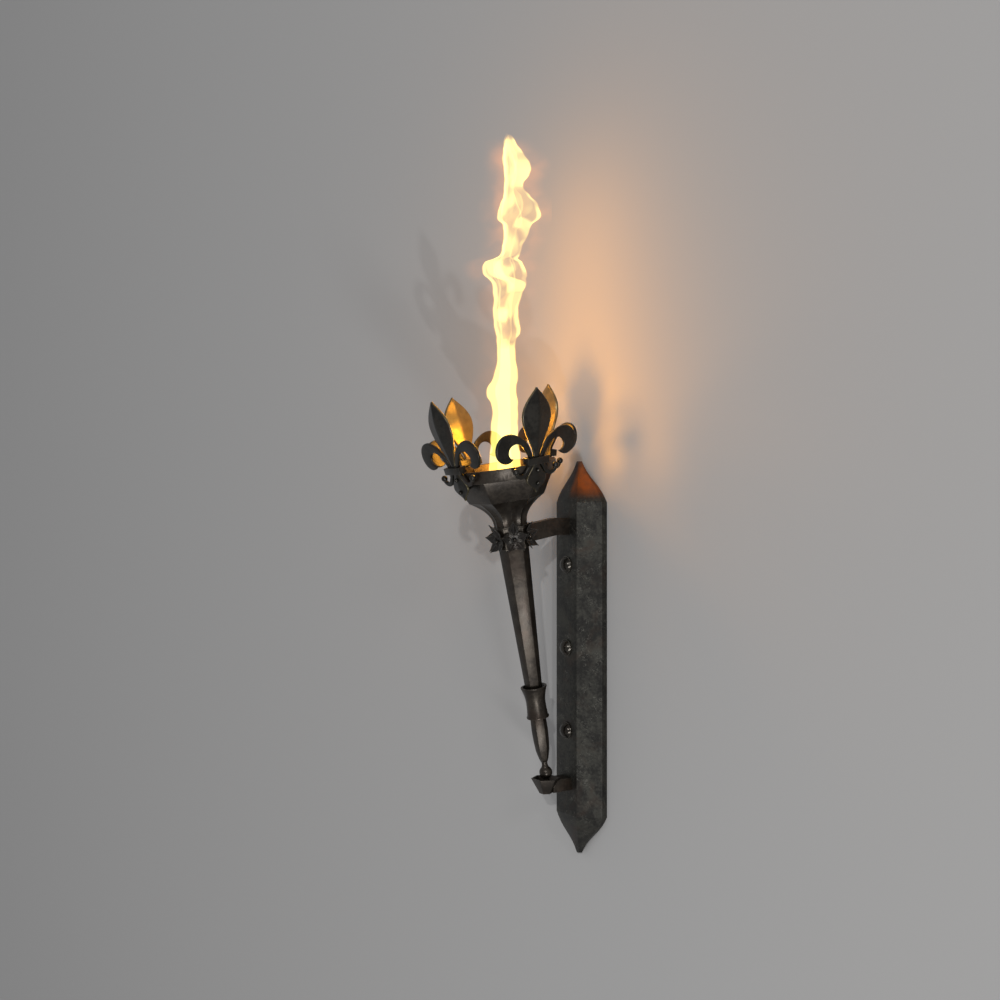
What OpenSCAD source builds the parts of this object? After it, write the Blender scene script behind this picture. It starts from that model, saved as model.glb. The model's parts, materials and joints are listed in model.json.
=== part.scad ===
// Wall torch sconce: a forged torch that leans out from a folded wall plate.
// The torch drops through a six-sided collar and stands in a cup below.
// Origin: middle of the wall plate on the wall. X runs along the wall,
// the sconce reaches out towards -Y, and Z is up. All sizes are in millimetres.

/* [Wall plate] */
// Overall height of the plate
plate_h = 600; // [580:5:700]
// Width of the plate at the wall
plate_w = 107; // [96:1:130]
// Width of its flat front face
plate_face_w = 48; // [44:1:60]
// How far the front face stands off the wall
plate_d = 35; // [32:1:45]
// Depth of the square edge along the wall
plate_lip = 10; // [6:1:14]
// Thickness of the folded sheet
plate_t = 3; // [2:0.5:4]
// Height of each pointed end
plate_end_h = 63; // [45:1:70]
// Width of the blunt tips
tip_w = 9; // [8:0.5:14]
// Depth of the blunt tips
tip_d = 5; // [4.5:0.5:8]
// How far the tips stand off the wall
tip_off = 8; // [4:0.5:10]

/* [Wall fixing] */
// Width of the hidden strap
strap_w = 36; // [28:1:44]
// Thickness of the strap
strap_t = 5; // [4:0.5:8]
// How far the strap runs past the outer studs
strap_over = 30; // [15:1:40]
// Distance between the two wall screws
screw_pitch = 160; // [120:5:180]
// Diameter of the wall screw holes
screw_hole_d = 6.5; // [5:0.1:9]
// Height of the middle stud above the origin
stud_mid_z = 16; // [0:1:30]
// Distance between neighbouring studs
stud_pitch = 126; // [110:1:135]
// Diameter of the studs
stud_d = 8; // [6:1:10]
// Diameter of the domed nuts
dome_d = 26; // [20:1:32]
// Height of the domed nuts
dome_h = 9.5; // [7:0.5:12]

/* [Torch placing] */
// Lean of the torch away from the wall, in degrees
lean = 10; // [6:0.5:12]
// Distance of the torch's foot ball from the wall
foot_d = 75; // [70:1:90]
// How far the upper arm's middle lies below the plate's upper shoulder
arm_drop = 36.3; // [30:0.1:45]

/* [Torch body] */
// Radius of the foot ball
ball_r = 9.8; // [8:0.1:12]
// Radius of the ball's slim neck
ball_neck_r = 4.2; // [4:0.1:5]
// Radius of the stem under the ball
stem_r = 3.6; // [3:0.1:5]
// Length of the stem below the ball's middle
stem_l = 22; // [18:0.5:24]
// Height of the grip's lower end above the ball's middle
grip_base = 17; // [14:0.5:22]
// Length of the grip
grip_l = 68.5; // [60:0.5:80]
// Radius over corners of the grip's middle
grip_r = 12.4; // [11:0.1:14]
// Length of the ferrule
ferrule_l = 48; // [40:1:60]
// Radius of the ferrule's top
ferrule_top_r = 19.7; // [18:0.1:21]
// Radius of the ferrule's waist
ferrule_waist_r = 14.5; // [14:0.1:16]
// Radius of the ferrule's base
ferrule_base_r = 16.8; // [15:0.1:18]
// Length of the six-sided shaft
shaft_l = 254; // [220:1:288]
// Radius over corners of the shaft's lower end
shaft_low_r = 12.6; // [12:0.1:13.5]
// Radius over corners of the shaft's upper end
shaft_top_r = 24.1; // [22:0.1:26]
// Wall of the shaft
shaft_wall = 3; // [2:0.5:4]
// Diameter of the tie rod that holds the torch together
rod_d = 6; // [5:0.5:6]

/* [Neck and bowl] */
// Height of the fluted neck
neck_h = 40; // [34:1:50]
// Radius over corners of the neck's top
neck_top_r = 56; // [53:0.5:60]
// How quickly the neck flares: higher is later
flare_power = 2.3; // [1.8:0.1:3]
// Number of flutes
flutes = 12; // [12:6:24]
// Depth of a flute as a share of the neck's radius
flute_depth = 0.1; // [0.04:0.01:0.14]
// Height of the six-sided bowl
bowl_h = 32; // [26:1:40]
// Radius over corners of the bowl's top
bowl_top_r = 73; // [70:0.5:74]
// Wall of the bowl
bowl_wall = 2.5; // [2:0.5:4]
// Height of the round rim
rim_h = 18; // [15:0.5:24]
// Outer radius of the rim's top edge
rim_top_r = 79; // [77:0.5:82]
// Outer radius of the rim's lower edge
rim_low_r = 75.5; // [75:0.5:77]
// Wall of the rim
rim_wall = 3.5; // [2.5:0.5:5]

/* [Burner] */
// Radius of the fuel can
can_r = 44; // [38:0.5:45]
// Height of the fuel can
can_h = 38; // [30:1:42]
// Wall of the fuel can
can_wall = 1.2; // [0.8:0.1:2]
// Radius of the opening in the can's lid
can_mouth_r = 25; // [18:1:32]

/* [Collar and arms] */
// Height of the collar
collar_h = 33; // [28:1:40]
// Radius over corners of the collar's wall
collar_r = 28.6; // [28:0.1:31]
// How far the collar's two lips stand out
lip_out = 1; // [0.5:0.1:2]
// Height of each lip
lip_h = 4; // [3:0.5:6]
// Play between the torch and the collar, over corners
collar_play = 1.1; // [0.8:0.1:2]
// Width of the upper arm
arm_w = 15; // [12:1:20]
// Height of the upper arm
arm_h = 26; // [20:1:28]
// Length of the arm's level stretch next to the plate
arm_level = 25; // [15:1:35]
// Width of the lower arm
foot_arm_w = 26; // [20:1:30]
// Height of the lower arm
foot_arm_h = 18.5; // [14:0.5:20]
// Diameter of the threaded tenons on the arms
tenon_d = 10; // [8:1:12]

/* [Foot cup] */
// Radius over corners of the cup's mouth
cup_top_r = 22.6; // [21:0.1:25]
// Radius over corners of the cup's base
cup_low_r = 9.5; // [8:0.5:12]
// Height of the cup
cup_h = 23; // [21:0.5:28]
// Wall of the cup
cup_wall = 2.5; // [2:0.5:3]
// How far the mouth lies below the ball's middle
cup_drop = 8.5; // [6:0.5:10]

/* [Rosettes] */
// Reach of a rosette's side petals
rosette_r = 20; // [16:0.5:21]
// Reach of its longer upper petal
rosette_top_r = 28; // [20:0.5:30]
// Half the width of a petal
rosette_petal_w = 6.6; // [5:0.1:7]
// How far the petal tips bend outwards
rosette_flare = 8; // [5:0.5:11]
// How far the rosettes sit below the collar's middle
rosette_drop = 2; // [0:0.5:3]
// Radius of the rosette's hub
hub_r = 9.4; // [9:0.1:11]
// Thickness of the hub
hub_t = 3; // [2:0.5:4]
// Radius of the circle that the five small beads stand on
bead_ring_r = 7; // [6:0.1:7]
// Radius of the round head in the middle
rosette_head_r = 2.8; // [2.4:0.1:3.2]

/* [Fleurs] */
// Outward tilt of the four fleurs against the torch, in degrees
fleur_tilt = 13; // [8:0.5:15]
// Height of a fleur's band above the rim
band_up = 5; // [4.8:0.1:8]
// Distance from a band's middle to the petal's tip
petal_l = 103.5; // [90:0.5:115]
// Width of the petal
petal_w = 51; // [44:1:56]
// Distance from a band's middle down to the leaf's tip
leaf_l = 47; // [42:0.5:50]
// Width of the leaf
leaf_w = 35; // [28:1:36]
// Thickness of the fleur's plates
fleur_t = 4; // [3:0.5:5]
// Height of the petal's ridge as a share of the half width
petal_ridge = 0.24; // [0.12:0.01:0.26]
// Height of the leaf's ridge as a share of the half width
leaf_ridge = 0.14; // [0.08:0.01:0.18]
// Half the width of the petal where the band holds it
neck_half = 5.6; // [5:0.1:5.8]
// Height of the band
band_h = 10; // [9:0.5:13]
// Thickness of the band's walls
band_wall = 3.3; // [2.5:0.1:4]
// Thickness of the band's two ends
band_end = 5.5; // [3:0.1:6]
// Sideways distance to the middle of a large scroll
scroll_x = 40; // [38:0.5:42]
// Width of a large scroll at its fullest
scroll_w = 23; // [18:0.5:24]
// Radius of the eye at the end of a large scroll
scroll_eye = 8.4; // [7:0.1:9]
// Radius of the ball at the end of a small scroll
scroll_ball_r = 4.6; // [3.5:0.1:5]
// Radius of the round heads of the fleur rivets
rivet_head_r = 3; // [2.5:0.1:3.5]
// Radius of the rivet shanks
rivet_r = 1.6; // [1.2:0.1:1.8]

/* [Hidden] */
$fn = 64;

// Clearances between pieces
seat = 0.2;       // pieces that lie against each other
fit = 0.3;        // pins and rods in their holes
past = 1;         // how far a cut runs past the face it opens
hex_in = cos(30); // inner over outer radius of a hexagon

iron = "#4a4540";
steel = "#6d6a66";
tin = "#8d8a84";

// Heights along the torch, measured up its axis from the foot ball's middle
grip_top = grip_base + grip_l;
shaft_base_h = grip_top + ferrule_l;
socket_deep = 10;
shaft_low_h = shaft_base_h - socket_deep;
neck_low = shaft_low_h + shaft_l;
neck_top = neck_low + neck_h;
bowl_top = neck_top + bowl_h;
rim_top = bowl_top + rim_h;
collar_mid = neck_low - collar_h / 2;
stem_end = -stem_l;

// The upper arm hangs from the plate's shoulder, and the torch's foot follows from it
arm_z = plate_h / 2 - plate_end_h - arm_drop;
bend_y = -plate_d - arm_level;
collar_y = -foot_d - collar_mid * sin(lean);
foot_z = arm_z + (collar_y - bend_y) * tan(lean) - collar_mid * cos(lean);

// Radii that follow from others
collar_apo = collar_r * hex_in;
collar_hole_r = shaft_top_r + collar_play;
neck_low_r = shaft_top_r + 0.4;
rod_hole_r = rod_d / 2 + fit;
washer_t = 2;
rod_end = 3;
thread_out = 3;

// Nuts and washers in proportion to their thread
function nut_r(d) = 0.94 * d;
function nut_h(d) = 0.8 * d;
function washer_r(d) = 1.1 * d;

module nut(d) {
  difference() {
    cylinder(h = nut_h(d), r = nut_r(d), $fn = 6);
    translate([0, 0, -past]) cylinder(h = nut_h(d) + 2 * past, r = d / 2 + seat);
  }
}

module washer(d) {
  difference() {
    cylinder(h = washer_t, r = washer_r(d));
    translate([0, 0, -past]) cylinder(h = washer_t + 2 * past, r = d / 2 + seat);
  }
}

// A point given across and along the torch's axis, as [y, z] in the part's frame
function tilted(y, z) = [y * cos(lean) - z * sin(lean) - foot_d, y * sin(lean) + z * cos(lean) + foot_z];

// Puts its children on the torch's axis, with Z up the axis from the foot ball
module on_torch() {
  translate([0, -foot_d, foot_z]) rotate([lean, 0, 0]) children();
}

// A closed solid through rings of points, each ring with as many points as the first
module loft(rings) {
  n = len(rings[0]);
  last = len(rings) - 1;
  polyhedron(
    points = [for (ring = rings) each ring],
    faces = [
      [for (i = [0:n - 1]) i],
      [for (i = [n - 1:-1:0]) last * n + i],
      for (k = [0:last - 1], i = [0:n - 1]) each [
        [k * n + i, (k + 1) * n + i, k * n + (i + 1) % n],
        [k * n + (i + 1) % n, (k + 1) * n + i, (k + 1) * n + (i + 1) % n]
      ]
    ],
    convexity = 8
  );
}

// ---- Wall plate ----

plate_steps = 8;
ogee = 0.05; // how much the ends swell near the shoulder and thin near the tip

// Corners of the folded section, for a share of 1 at full size and 0 at the tip
function plate_section(share) = let (
  half = (tip_w + (plate_w - tip_w) * share) / 2,
  face = half * plate_face_w / plate_w,
  off = tip_off * (1 - share),
  deep = tip_d + (plate_d - tip_d) * share,
  lip = deep * plate_lip / plate_d
) [[-half, -off], [-half, -off - lip], [-face, -off - deep], [face, -off - deep], [half, -off - lip], [half, -off]];

// A corner list moved inwards by the sheet's thickness, open at the wall
function unit(v) = v / norm(v);
function inset(p, t) = [for (i = [0:len(p) - 1]) let (
  before = unit(p[i] - p[(i + len(p) - 1) % len(p)]),
  after = unit(p[(i + 1) % len(p)] - p[i]),
  n1 = [-before[1], before[0]],
  n2 = [-after[1], after[0]],
  q = p[i] + t * (n1 + n2) / (1 + n1 * n2)
) i == 0 || i == len(p) - 1 ? [q[0], past] : q];

// Heights and shares of the plate's sections, from the lower tip to the upper one
function plate_share(t) = t - ogee * sin(360 * t);
plate_levels = [
  for (i = [0:plate_steps]) let (t = i / plate_steps) [-plate_h / 2 + plate_end_h * t, plate_share(t)],
  for (i = [plate_steps:-1:0]) let (t = i / plate_steps) [plate_h / 2 - plate_end_h * t, plate_share(t)]
];

module plate_shape(inner) {
  ends = inner ? plate_t : 0;
  loft([for (level = plate_levels) let (
    z = level[0] > 0 ? level[0] - ends : level[0] + ends,
    corners = inner ? inset(plate_section(level[1]), plate_t) : plate_section(level[1])
  ) [for (c = corners) [c[0], c[1], z]]]);
}

stud_heights = [for (k = [-1:1]) stud_mid_z + k * stud_pitch];

module wall_plate() {
  color(iron) difference() {
    plate_shape(false);
    plate_shape(true);
    for (z = stud_heights) through_face(z, stud_d / 2 + fit);
    for (z = [arm_z, foot_arm_z]) through_face(z, tenon_d / 2 + fit);
  }
}

module through_face(z, r) {
  translate([0, -plate_d - past, z]) rotate([-90, 0, 0]) cylinder(h = plate_t + 2 * past, r = r);
}

// ---- Wall fixing ----

module wall_strap() {
  low = stud_heights[0] - strap_over;
  high = stud_heights[2] + strap_over;
  color(steel) difference() {
    translate([-strap_w / 2, -strap_t, low]) cube([strap_w, strap_t, high - low]);
    for (k = [-1, 1]) strap_hole(stud_mid_z + k * screw_pitch / 2, screw_hole_d / 2);
    for (z = stud_heights) strap_hole(z, stud_d / 2 + seat);
  }
}

module strap_hole(z, r) {
  translate([0, -strap_t - past, z]) rotate([-90, 0, 0]) cylinder(h = strap_t + 2 * past, r = r);
}

dome_wall = 3;
stud_reach = plate_d + dome_h - dome_wall - 1;
stud_short = 0.5;

// The studs end just short of the wall
module mounting_studs() {
  color(steel) for (z = stud_heights)
    translate([0, -stud_reach, z]) rotate([-90, 0, 0]) cylinder(h = stud_reach - stud_short, r = stud_d / 2);
}

// A domed nut: a thin flange under a cap of a sphere, with a blind hole for the stud
module dome_nuts() {
  flange = 1.6;
  flange_out = 0.8;
  cap_h = dome_h - flange;
  cap_r = dome_d / 2 - flange_out;
  ball = (cap_r * cap_r + cap_h * cap_h) / (2 * cap_h);
  color(steel) for (z = stud_heights)
    translate([0, -plate_d - seat, z]) rotate([90, 0, 0]) difference() {
      union() {
        cylinder(h = flange, r = dome_d / 2);
        intersection() {
          translate([0, 0, dome_h - ball]) sphere(r = ball);
          translate([0, 0, flange / 2]) cylinder(h = dome_h, r = cap_r);
        }
      }
      translate([0, 0, -past]) cylinder(h = dome_h - dome_wall + past, r = stud_d / 2 + fit);
    }
}

// ---- Arms, collar and cup ----

cup_top = foot_z - cup_drop;
foot_arm_z = cup_top - cup_h / 2 - 0.5;
foot_arm_back = 5;
tenon_l = plate_t + washer_t + tenon_d;
tenon_root = 2;

// A round tenon on an arm's end, which passes through the plate into a washer and nut
module tenon(z) {
  translate([0, -plate_d - tenon_root, z]) rotate([-90, 0, 0]) cylinder(h = tenon_l + tenon_root, r = tenon_d / 2);
}

// The upper arm runs level from the plate, then bends to meet a flat of the leaning collar
module upper_arm() {
  half = arm_h / 2;
  over = 4;
  bend = half * [-tan(lean / 2), 1];
  top = tilted(collar_apo, collar_mid + half);
  low = tilted(collar_apo, collar_mid - half);
  into = over * [-cos(lean), -sin(lean)];
  color(iron) difference() {
    union() {
      rotate([90, 0, 90]) translate([0, 0, -arm_w / 2]) linear_extrude(arm_w) polygon([
        [-plate_d, arm_z + half], [bend_y, arm_z] + bend, top + into,
        low + into, [bend_y, arm_z] - bend, [-plate_d, arm_z - half]
      ]);
      tenon(arm_z);
    }
    on_torch() collar_body(seat);
  }
}

module collar_body(grow) {
  translate([0, 0, collar_mid - collar_h / 2 - grow]) {
    cylinder(h = collar_h + 2 * grow, r = collar_r + grow / hex_in, $fn = 6);
    for (z = [0, collar_h - lip_h])
      translate([0, 0, z]) cylinder(h = lip_h + 2 * grow, r = collar_r + (lip_out + grow) / hex_in, $fn = 6);
  }
}

rosette_turns = [0, 60, 120, 240, 300];

module collar_ring() {
  color(iron) on_torch() difference() {
    collar_body(0);
    translate([0, 0, collar_mid - collar_h]) cylinder(h = 2 * collar_h, r = collar_hole_r, $fn = 6);
    for (turn = rosette_turns) on_collar(turn)
      translate([0, 0, -collar_r / 2]) cylinder(h = collar_r, r = rivet_r + seat);
  }
}

module cup_body(grow) {
  slope = (cup_top_r - cup_low_r) / cup_h;
  translate([0, -foot_d, cup_top - cup_h - grow])
    cylinder(
      h = cup_h + 2 * grow, r1 = cup_low_r + grow / hex_in - slope * grow,
      r2 = cup_top_r + grow / hex_in + slope * grow, $fn = 6
    );
}

cup_floor = foot_z + stem_end * cos(lean) - seat;

module socket_cup() {
  slope = (cup_top_r - cup_low_r) / cup_h;
  wall = cup_wall / hex_in;
  floor_r = cup_low_r + slope * (cup_floor - cup_top + cup_h) - wall;
  color(iron) difference() {
    cup_body(0);
    translate([0, -foot_d, cup_floor])
      cylinder(h = cup_top - cup_floor + 1, r1 = floor_r, r2 = cup_top_r - wall + slope, $fn = 6);
  }
}

// The lower arm is a straight block whose end is hollowed to the cup
module lower_arm() {
  color(iron) difference() {
    union() {
      translate([-foot_arm_w / 2, foot_arm_back - foot_d, foot_arm_z - foot_arm_h / 2])
        cube([foot_arm_w, foot_d - foot_arm_back - plate_d, foot_arm_h]);
      tenon(foot_arm_z);
    }
    cup_body(seat);
  }
}

module behind_face(z, up) {
  translate([0, -plate_d + plate_t + up, z]) rotate([-90, 0, 0]) children();
}

module arm_washers() {
  color(steel) for (z = [arm_z, foot_arm_z]) behind_face(z, 0) washer(tenon_d);
}

module arm_nuts() {
  color(steel) for (z = [arm_z, foot_arm_z]) behind_face(z, washer_t) nut(tenon_d);
}

// ---- Rosettes ----

// Puts its children on a flat of the collar, with Z pointing out and Y up the torch
module on_collar(turn) {
  rotate([0, 0, turn]) translate([0, -collar_apo - seat, collar_mid - rosette_drop]) rotate([90, 0, 0]) children();
}

petal_steps = 6;
petal_t = 1.4;
bead_r = 1.9;

// One petal that runs along +Y from the hub, bends outwards and ends in a point
module rosette_petal(reach) {
  root = hub_r - 3;
  tip_half = 0.7;
  base_z = 0.9;
  loft([for (i = [0:petal_steps]) let (
    t = i / petal_steps,
    y = root + (reach - root) * t,
    full = pow(sin(20 + 155 * pow(t, 0.8)), 0.8) * (1 - pow(t, 5)),
    half = tip_half + (rosette_petal_w - tip_half) * full,
    z = base_z + rosette_flare * reach / rosette_r * pow(t, 1.7),
    ridge = 0.16 * half
  ) [
    [-half, y, z], [-half, y, z + petal_t], [0, y, z + petal_t + ridge],
    [half, y, z + petal_t], [half, y, z], [0, y, z - 0.3]
  ]]);
}

// Five petals around a hub that carries a ring of five beads
module rosette(turn) {
  color(iron) on_torch() on_collar(turn) difference() {
    union() {
      cylinder(h = hub_t, r = hub_r);
      for (k = [0:4]) rotate([0, 0, 72 * k]) {
        rosette_petal(k == 0 ? rosette_top_r : rosette_r);
        translate([0, bead_ring_r, hub_t + 0.5]) sphere(r = bead_r);
      }
    }
    translate([0, 0, -past]) cylinder(h = hub_t + 2 * past, r = rivet_r + seat);
  }
}

module rosette_1() rosette(rosette_turns[0]);
module rosette_2() rosette(rosette_turns[1]);
module rosette_3() rosette(rosette_turns[2]);
module rosette_4() rosette(rosette_turns[3]);
module rosette_5() rosette(rosette_turns[4]);

// A round rivet head that stands on the plane z = 0 and rises along +Z
module round_head(r) {
  intersection() {
    translate([0, 0, 0.2 * r]) sphere(r = r);
    cylinder(h = 2 * r, r = r);
  }
}

// Round-headed rivets hold the rosettes; their tails are flush in the collar
module rosette_rivets() {
  deep = collar_apo - collar_hole_r * hex_in + seat;
  color(steel) on_torch() for (turn = rosette_turns) on_collar(turn) {
    translate([0, 0, -deep]) cylinder(h = deep + hub_t + 1, r = rivet_r);
    translate([0, 0, hub_t + seat]) round_head(rosette_head_r);
  }
}

// ---- Torch ----

neck_ring_steps = 6;
neck_ring = 0.5; // how much the neck opens again under the grip

// The ball runs up in a slim neck that meets the grip
module ball_finial() {
  root_z = 0.8 * ball_r;
  root_r = 0.6 * ball_r;
  top_z = grip_base - seat;
  color(iron) on_torch() difference() {
    union() {
      sphere(r = ball_r);
      rotate_extrude() polygon([
        [0, 0], [root_r, root_z - 0.5], [root_r, root_z],
        for (i = [1:neck_ring_steps]) let (t = i / neck_ring_steps) [
          ball_neck_r + (root_r - ball_neck_r) * pow(1 - t, 3) + neck_ring * pow(t, 4),
          root_z + (top_z - root_z) * t
        ],
        [0, top_z]
      ]);
      translate([0, 0, stem_end + stem_r]) {
        sphere(r = stem_r);
        cylinder(h = stem_l - stem_r, r = stem_r);
      }
    }
    translate([0, 0, rod_end - fit]) cylinder(h = grip_base, r = rod_d / 2 + seat);
  }
}

module grip() {
  tip_r = 5.4;
  color(iron) on_torch() difference() {
    translate([0, 0, grip_base]) rotate_extrude($fn = 6) polygon([
      [0, 0], [tip_r, 0], [tip_r + 2, 0.08 * grip_l], [0.84 * grip_r, 0.26 * grip_l],
      [0.95 * grip_r, 0.48 * grip_l], [grip_r, 0.72 * grip_l],
      [0.96 * grip_r, grip_l - 1], [0.9 * grip_r, grip_l], [0, grip_l]
    ]);
    translate([0, 0, grip_base - past]) cylinder(h = grip_l + 2 * past, r = rod_hole_r);
  }
}

ferrule_steps = 8;
ferrule_lip = 1.5;
foot_ring = 3;

// The ferrule narrows to a waist and opens again into a socket for the shaft
module ferrule() {
  waist_h = 0.48 * ferrule_l;
  top_h = ferrule_l - seat;
  socket_r = shaft_low_r + 1.6;
  floor_h = ferrule_l - socket_deep - fit;
  lower = [for (i = [0:ferrule_steps]) let (t = i / ferrule_steps) [
    ferrule_waist_r + (ferrule_base_r - 1 - ferrule_waist_r) * pow(1 - t, 2),
    foot_ring + (waist_h - foot_ring) * t
  ]];
  upper = [for (i = [1:ferrule_steps]) let (t = i / ferrule_steps) [
    ferrule_waist_r + (ferrule_top_r - ferrule_waist_r) * pow(t, 1.8),
    waist_h + (ferrule_l - ferrule_lip - waist_h) * t
  ]];
  color(iron) on_torch() difference() {
    translate([0, 0, grip_top + seat]) rotate_extrude() polygon(concat(
      [[0, 0], [ferrule_base_r, 0], [ferrule_base_r, foot_ring - 0.6]], lower, upper,
      [[ferrule_top_r, top_h], [ferrule_top_r - 2 * ferrule_lip, top_h],
       [socket_r, ferrule_l - socket_deep / 2], [socket_r, floor_h], [0, floor_h]]
    ));
    translate([0, 0, grip_top - past]) cylinder(h = ferrule_l + 2 * past, r = rod_hole_r);
  }
}

// A tapered six-sided tube with a round bore
module shaft() {
  slope = (shaft_top_r - shaft_low_r) * hex_in / shaft_l;
  low_in = shaft_low_r * hex_in - shaft_wall;
  color(iron) on_torch() translate([0, 0, shaft_low_h]) difference() {
    cylinder(h = shaft_l - seat, r1 = shaft_low_r, r2 = shaft_top_r, $fn = 6);
    translate([0, 0, -past]) cylinder(
      h = shaft_l + 2 * past, r1 = low_in - slope * past, r2 = low_in + slope * (shaft_l + past)
    );
  }
}

// Radius over a hexagon's corners turned into the radius at an angle from a corner
function hex_at(angle) = let (a = angle - 60 * floor(angle / 60)) hex_in / cos(a - 30);

neck_steps = 9;
points_a_flute = 4;
spigot_l = 8;
nut_seat = neck_low + 11;

// The neck flares from a fluted round at the collar to the bowl's six sides. A spigot below
// centres it in the shaft, and a well above leaves room for the tie rod's nut.
module neck() {
  count = flutes * points_a_flute;
  spigot_r = shaft_top_r * hex_in - shaft_wall - 2 * fit;
  well_r = washer_r(rod_d) + 4;
  ledge = 8;
  color(iron) on_torch() difference() {
    union() {
      loft([for (k = [0:neck_steps]) let (
        t = k / neck_steps,
        r = neck_low_r + (neck_top_r - neck_low_r) * pow(t, flare_power),
        six = pow(t, 3),
        deep = flute_depth * pow(max(0, sin(30 + 150 * t)), 0.7)
      ) [for (i = [0:count - 1]) let (
        angle = 360 * i / count,
        side = 1 - six + six * hex_at(angle),
        groove = 1 - deep * abs(sin(180 * i / points_a_flute))
      ) [r * side * groove * cos(angle), r * side * groove * sin(angle), neck_low + neck_h * t]]]);
      translate([0, 0, neck_low - spigot_l]) cylinder(h = spigot_l + past, r = spigot_r);
    }
    translate([0, 0, neck_low - spigot_l - past]) cylinder(h = neck_h, r = rod_hole_r);
    translate([0, 0, nut_seat])
      cylinder(h = neck_top - nut_seat + past, r1 = well_r, r2 = can_r - ledge);
  }
}

module rod_washer() {
  color(steel) on_torch() translate([0, 0, nut_seat]) washer(rod_d);
}

module rod_nut() {
  color(steel) on_torch() translate([0, 0, nut_seat + washer_t]) nut(rod_d);
}

// The rod pulls ball, grip, ferrule, shaft and neck together
module tie_rod() {
  color(steel) on_torch() translate([0, 0, rod_end])
    cylinder(h = nut_seat + washer_t + nut_h(rod_d) + thread_out - rod_end, r = rod_d / 2);
}

module bowl() {
  wall = bowl_wall / hex_in;
  slope = (bowl_top_r - neck_top_r) / bowl_h;
  color(iron) on_torch() translate([0, 0, neck_top]) difference() {
    cylinder(h = bowl_h, r1 = neck_top_r, r2 = bowl_top_r, $fn = 6);
    translate([0, 0, -past]) cylinder(
      h = bowl_h + 2 * past, r1 = neck_top_r - wall - slope * past, r2 = bowl_top_r - wall + slope * past, $fn = 6
    );
  }
}

// A round band with a web inside it that lies on the bowl's six-sided mouth
module rim_ring() {
  web_t = 3;
  web_in = rim_low_r - 22;
  bevel = 1;
  color(iron) on_torch() difference() {
    translate([0, 0, bowl_top]) rotate_extrude() polygon([
      [web_in, 0], [rim_low_r, 0], [rim_top_r, rim_h - bevel], [rim_top_r - bevel, rim_h],
      [rim_top_r - rim_wall + bevel, rim_h], [rim_top_r - rim_wall, rim_h - bevel],
      [rim_low_r - rim_wall, web_t], [web_in, web_t]
    ]);
    translate([0, 0, bowl_top - past])
      cylinder(h = web_t + 2 * past, r = bowl_top_r - bowl_wall / hex_in, $fn = 6);
    for (turn = fleur_turns) on_fleur(turn)
      translate([0, rim_grip, rivet_high]) rotate([90, 0, 0]) cylinder(h = rim_grip, r = rivet_r + seat);
  }
}

// ---- Fleurs ----

// Each fleur is a ridged petal that runs down into a leaf, two scrolled bars and a band
fleur_turns = [0, 90, 180, 270];
rivet_high = -14; // heights of the two rivets below the band's middle
rivet_low = -33;
rim_grip = 15;    // reach of the rivet holes behind the blade
band_mid = rim_top + band_up;
rim_slope = (rim_top_r - rim_low_r) / rim_h;
leaf_full = 28;   // where the leaf is widest, below the band's middle
petal_full = 0.6; // where the petal is widest, as a share of its length
tip_half = 0.6;   // half the width of the blade's points

// The leaf's back rests on the rim beside the upper rivet
rest_h = band_mid + rivet_high * cos(fleur_tilt);
rest_r = rim_top_r - rim_slope * (rim_top - rest_h);
rest_half = below_half(rivet_high);
rest_gap = 0.6;
fleur_r = sqrt(rest_r * rest_r - rest_half * rest_half) + rest_gap + fleur_t - rivet_high * sin(fleur_tilt);

module on_fleur(turn) {
  rotate([0, 0, turn]) translate([0, -fleur_r, band_mid]) rotate([fleur_tilt, 0, 0]) children();
}

// Half width of a blade: narrow at the band, full at a share of its length, then to a point
function swell(t) = pow(sin(90 * t), 1.7);
function petal_half(t) = t < petal_full
  ? neck_half + (petal_w / 2 - neck_half) * swell(t / petal_full)
  : tip_half + (petal_w / 2 - tip_half) * cos(90 * (t - petal_full) / (1 - petal_full));
function leaf_half(t) = neck_half + (leaf_w / 2 - neck_half) * swell(t);
function leaf_tip_half(t) = tip_half + (leaf_w / 2 - tip_half) * pow(cos(90 * t), 1.8);
function below_half(z) = -z > leaf_full
  ? leaf_tip_half((-z - leaf_full) / (leaf_l - leaf_full))
  : leaf_half((-z - band_h / 2) / (leaf_full - band_h / 2));

upper_steps = 13;
lower_steps = 5;
blade_levels = [
  for (i = [lower_steps:-1:1]) let (t = i / lower_steps)
    [-leaf_full - (leaf_l - leaf_full) * t, leaf_tip_half(t)],
  for (i = [lower_steps:-1:0]) let (t = i / lower_steps)
    [-band_h / 2 - (leaf_full - band_h / 2) * t, leaf_half(t)],
  for (i = [0:upper_steps]) let (t = i / upper_steps)
    [band_h / 2 + (petal_l - band_h / 2) * t, petal_half(t)]
];

// The ridge grows from the leaf's to the petal's inside the band
function ridge_at(z) =
  leaf_ridge + (petal_ridge - leaf_ridge) * min(1, max(0, (z + band_h / 2) / band_h));

// A ridged blade: the front rises to the middle line and the back follows it
module petal(turn) {
  color(iron) on_torch() on_fleur(turn) difference() {
    loft([for (level = blade_levels) let (z = level[0], half = level[1], rise = ridge_at(z) * half) [
      [-half, 0, z], [0, -rise, z], [half, 0, z],
      [half, fleur_t, z], [0, fleur_t - rise, z], [-half, fleur_t, z]
    ]]);
    for (z = [rivet_high, rivet_low])
      translate([0, rim_grip, z]) rotate([90, 0, 0]) cylinder(h = 2 * rim_grip, r = rivet_r + seat);
  }
}

module fleur_petal_front() petal(fleur_turns[0]);
module fleur_petal_right() petal(fleur_turns[1]);
module fleur_petal_back() petal(fleur_turns[2]);
module fleur_petal_left() petal(fleur_turns[3]);

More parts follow.
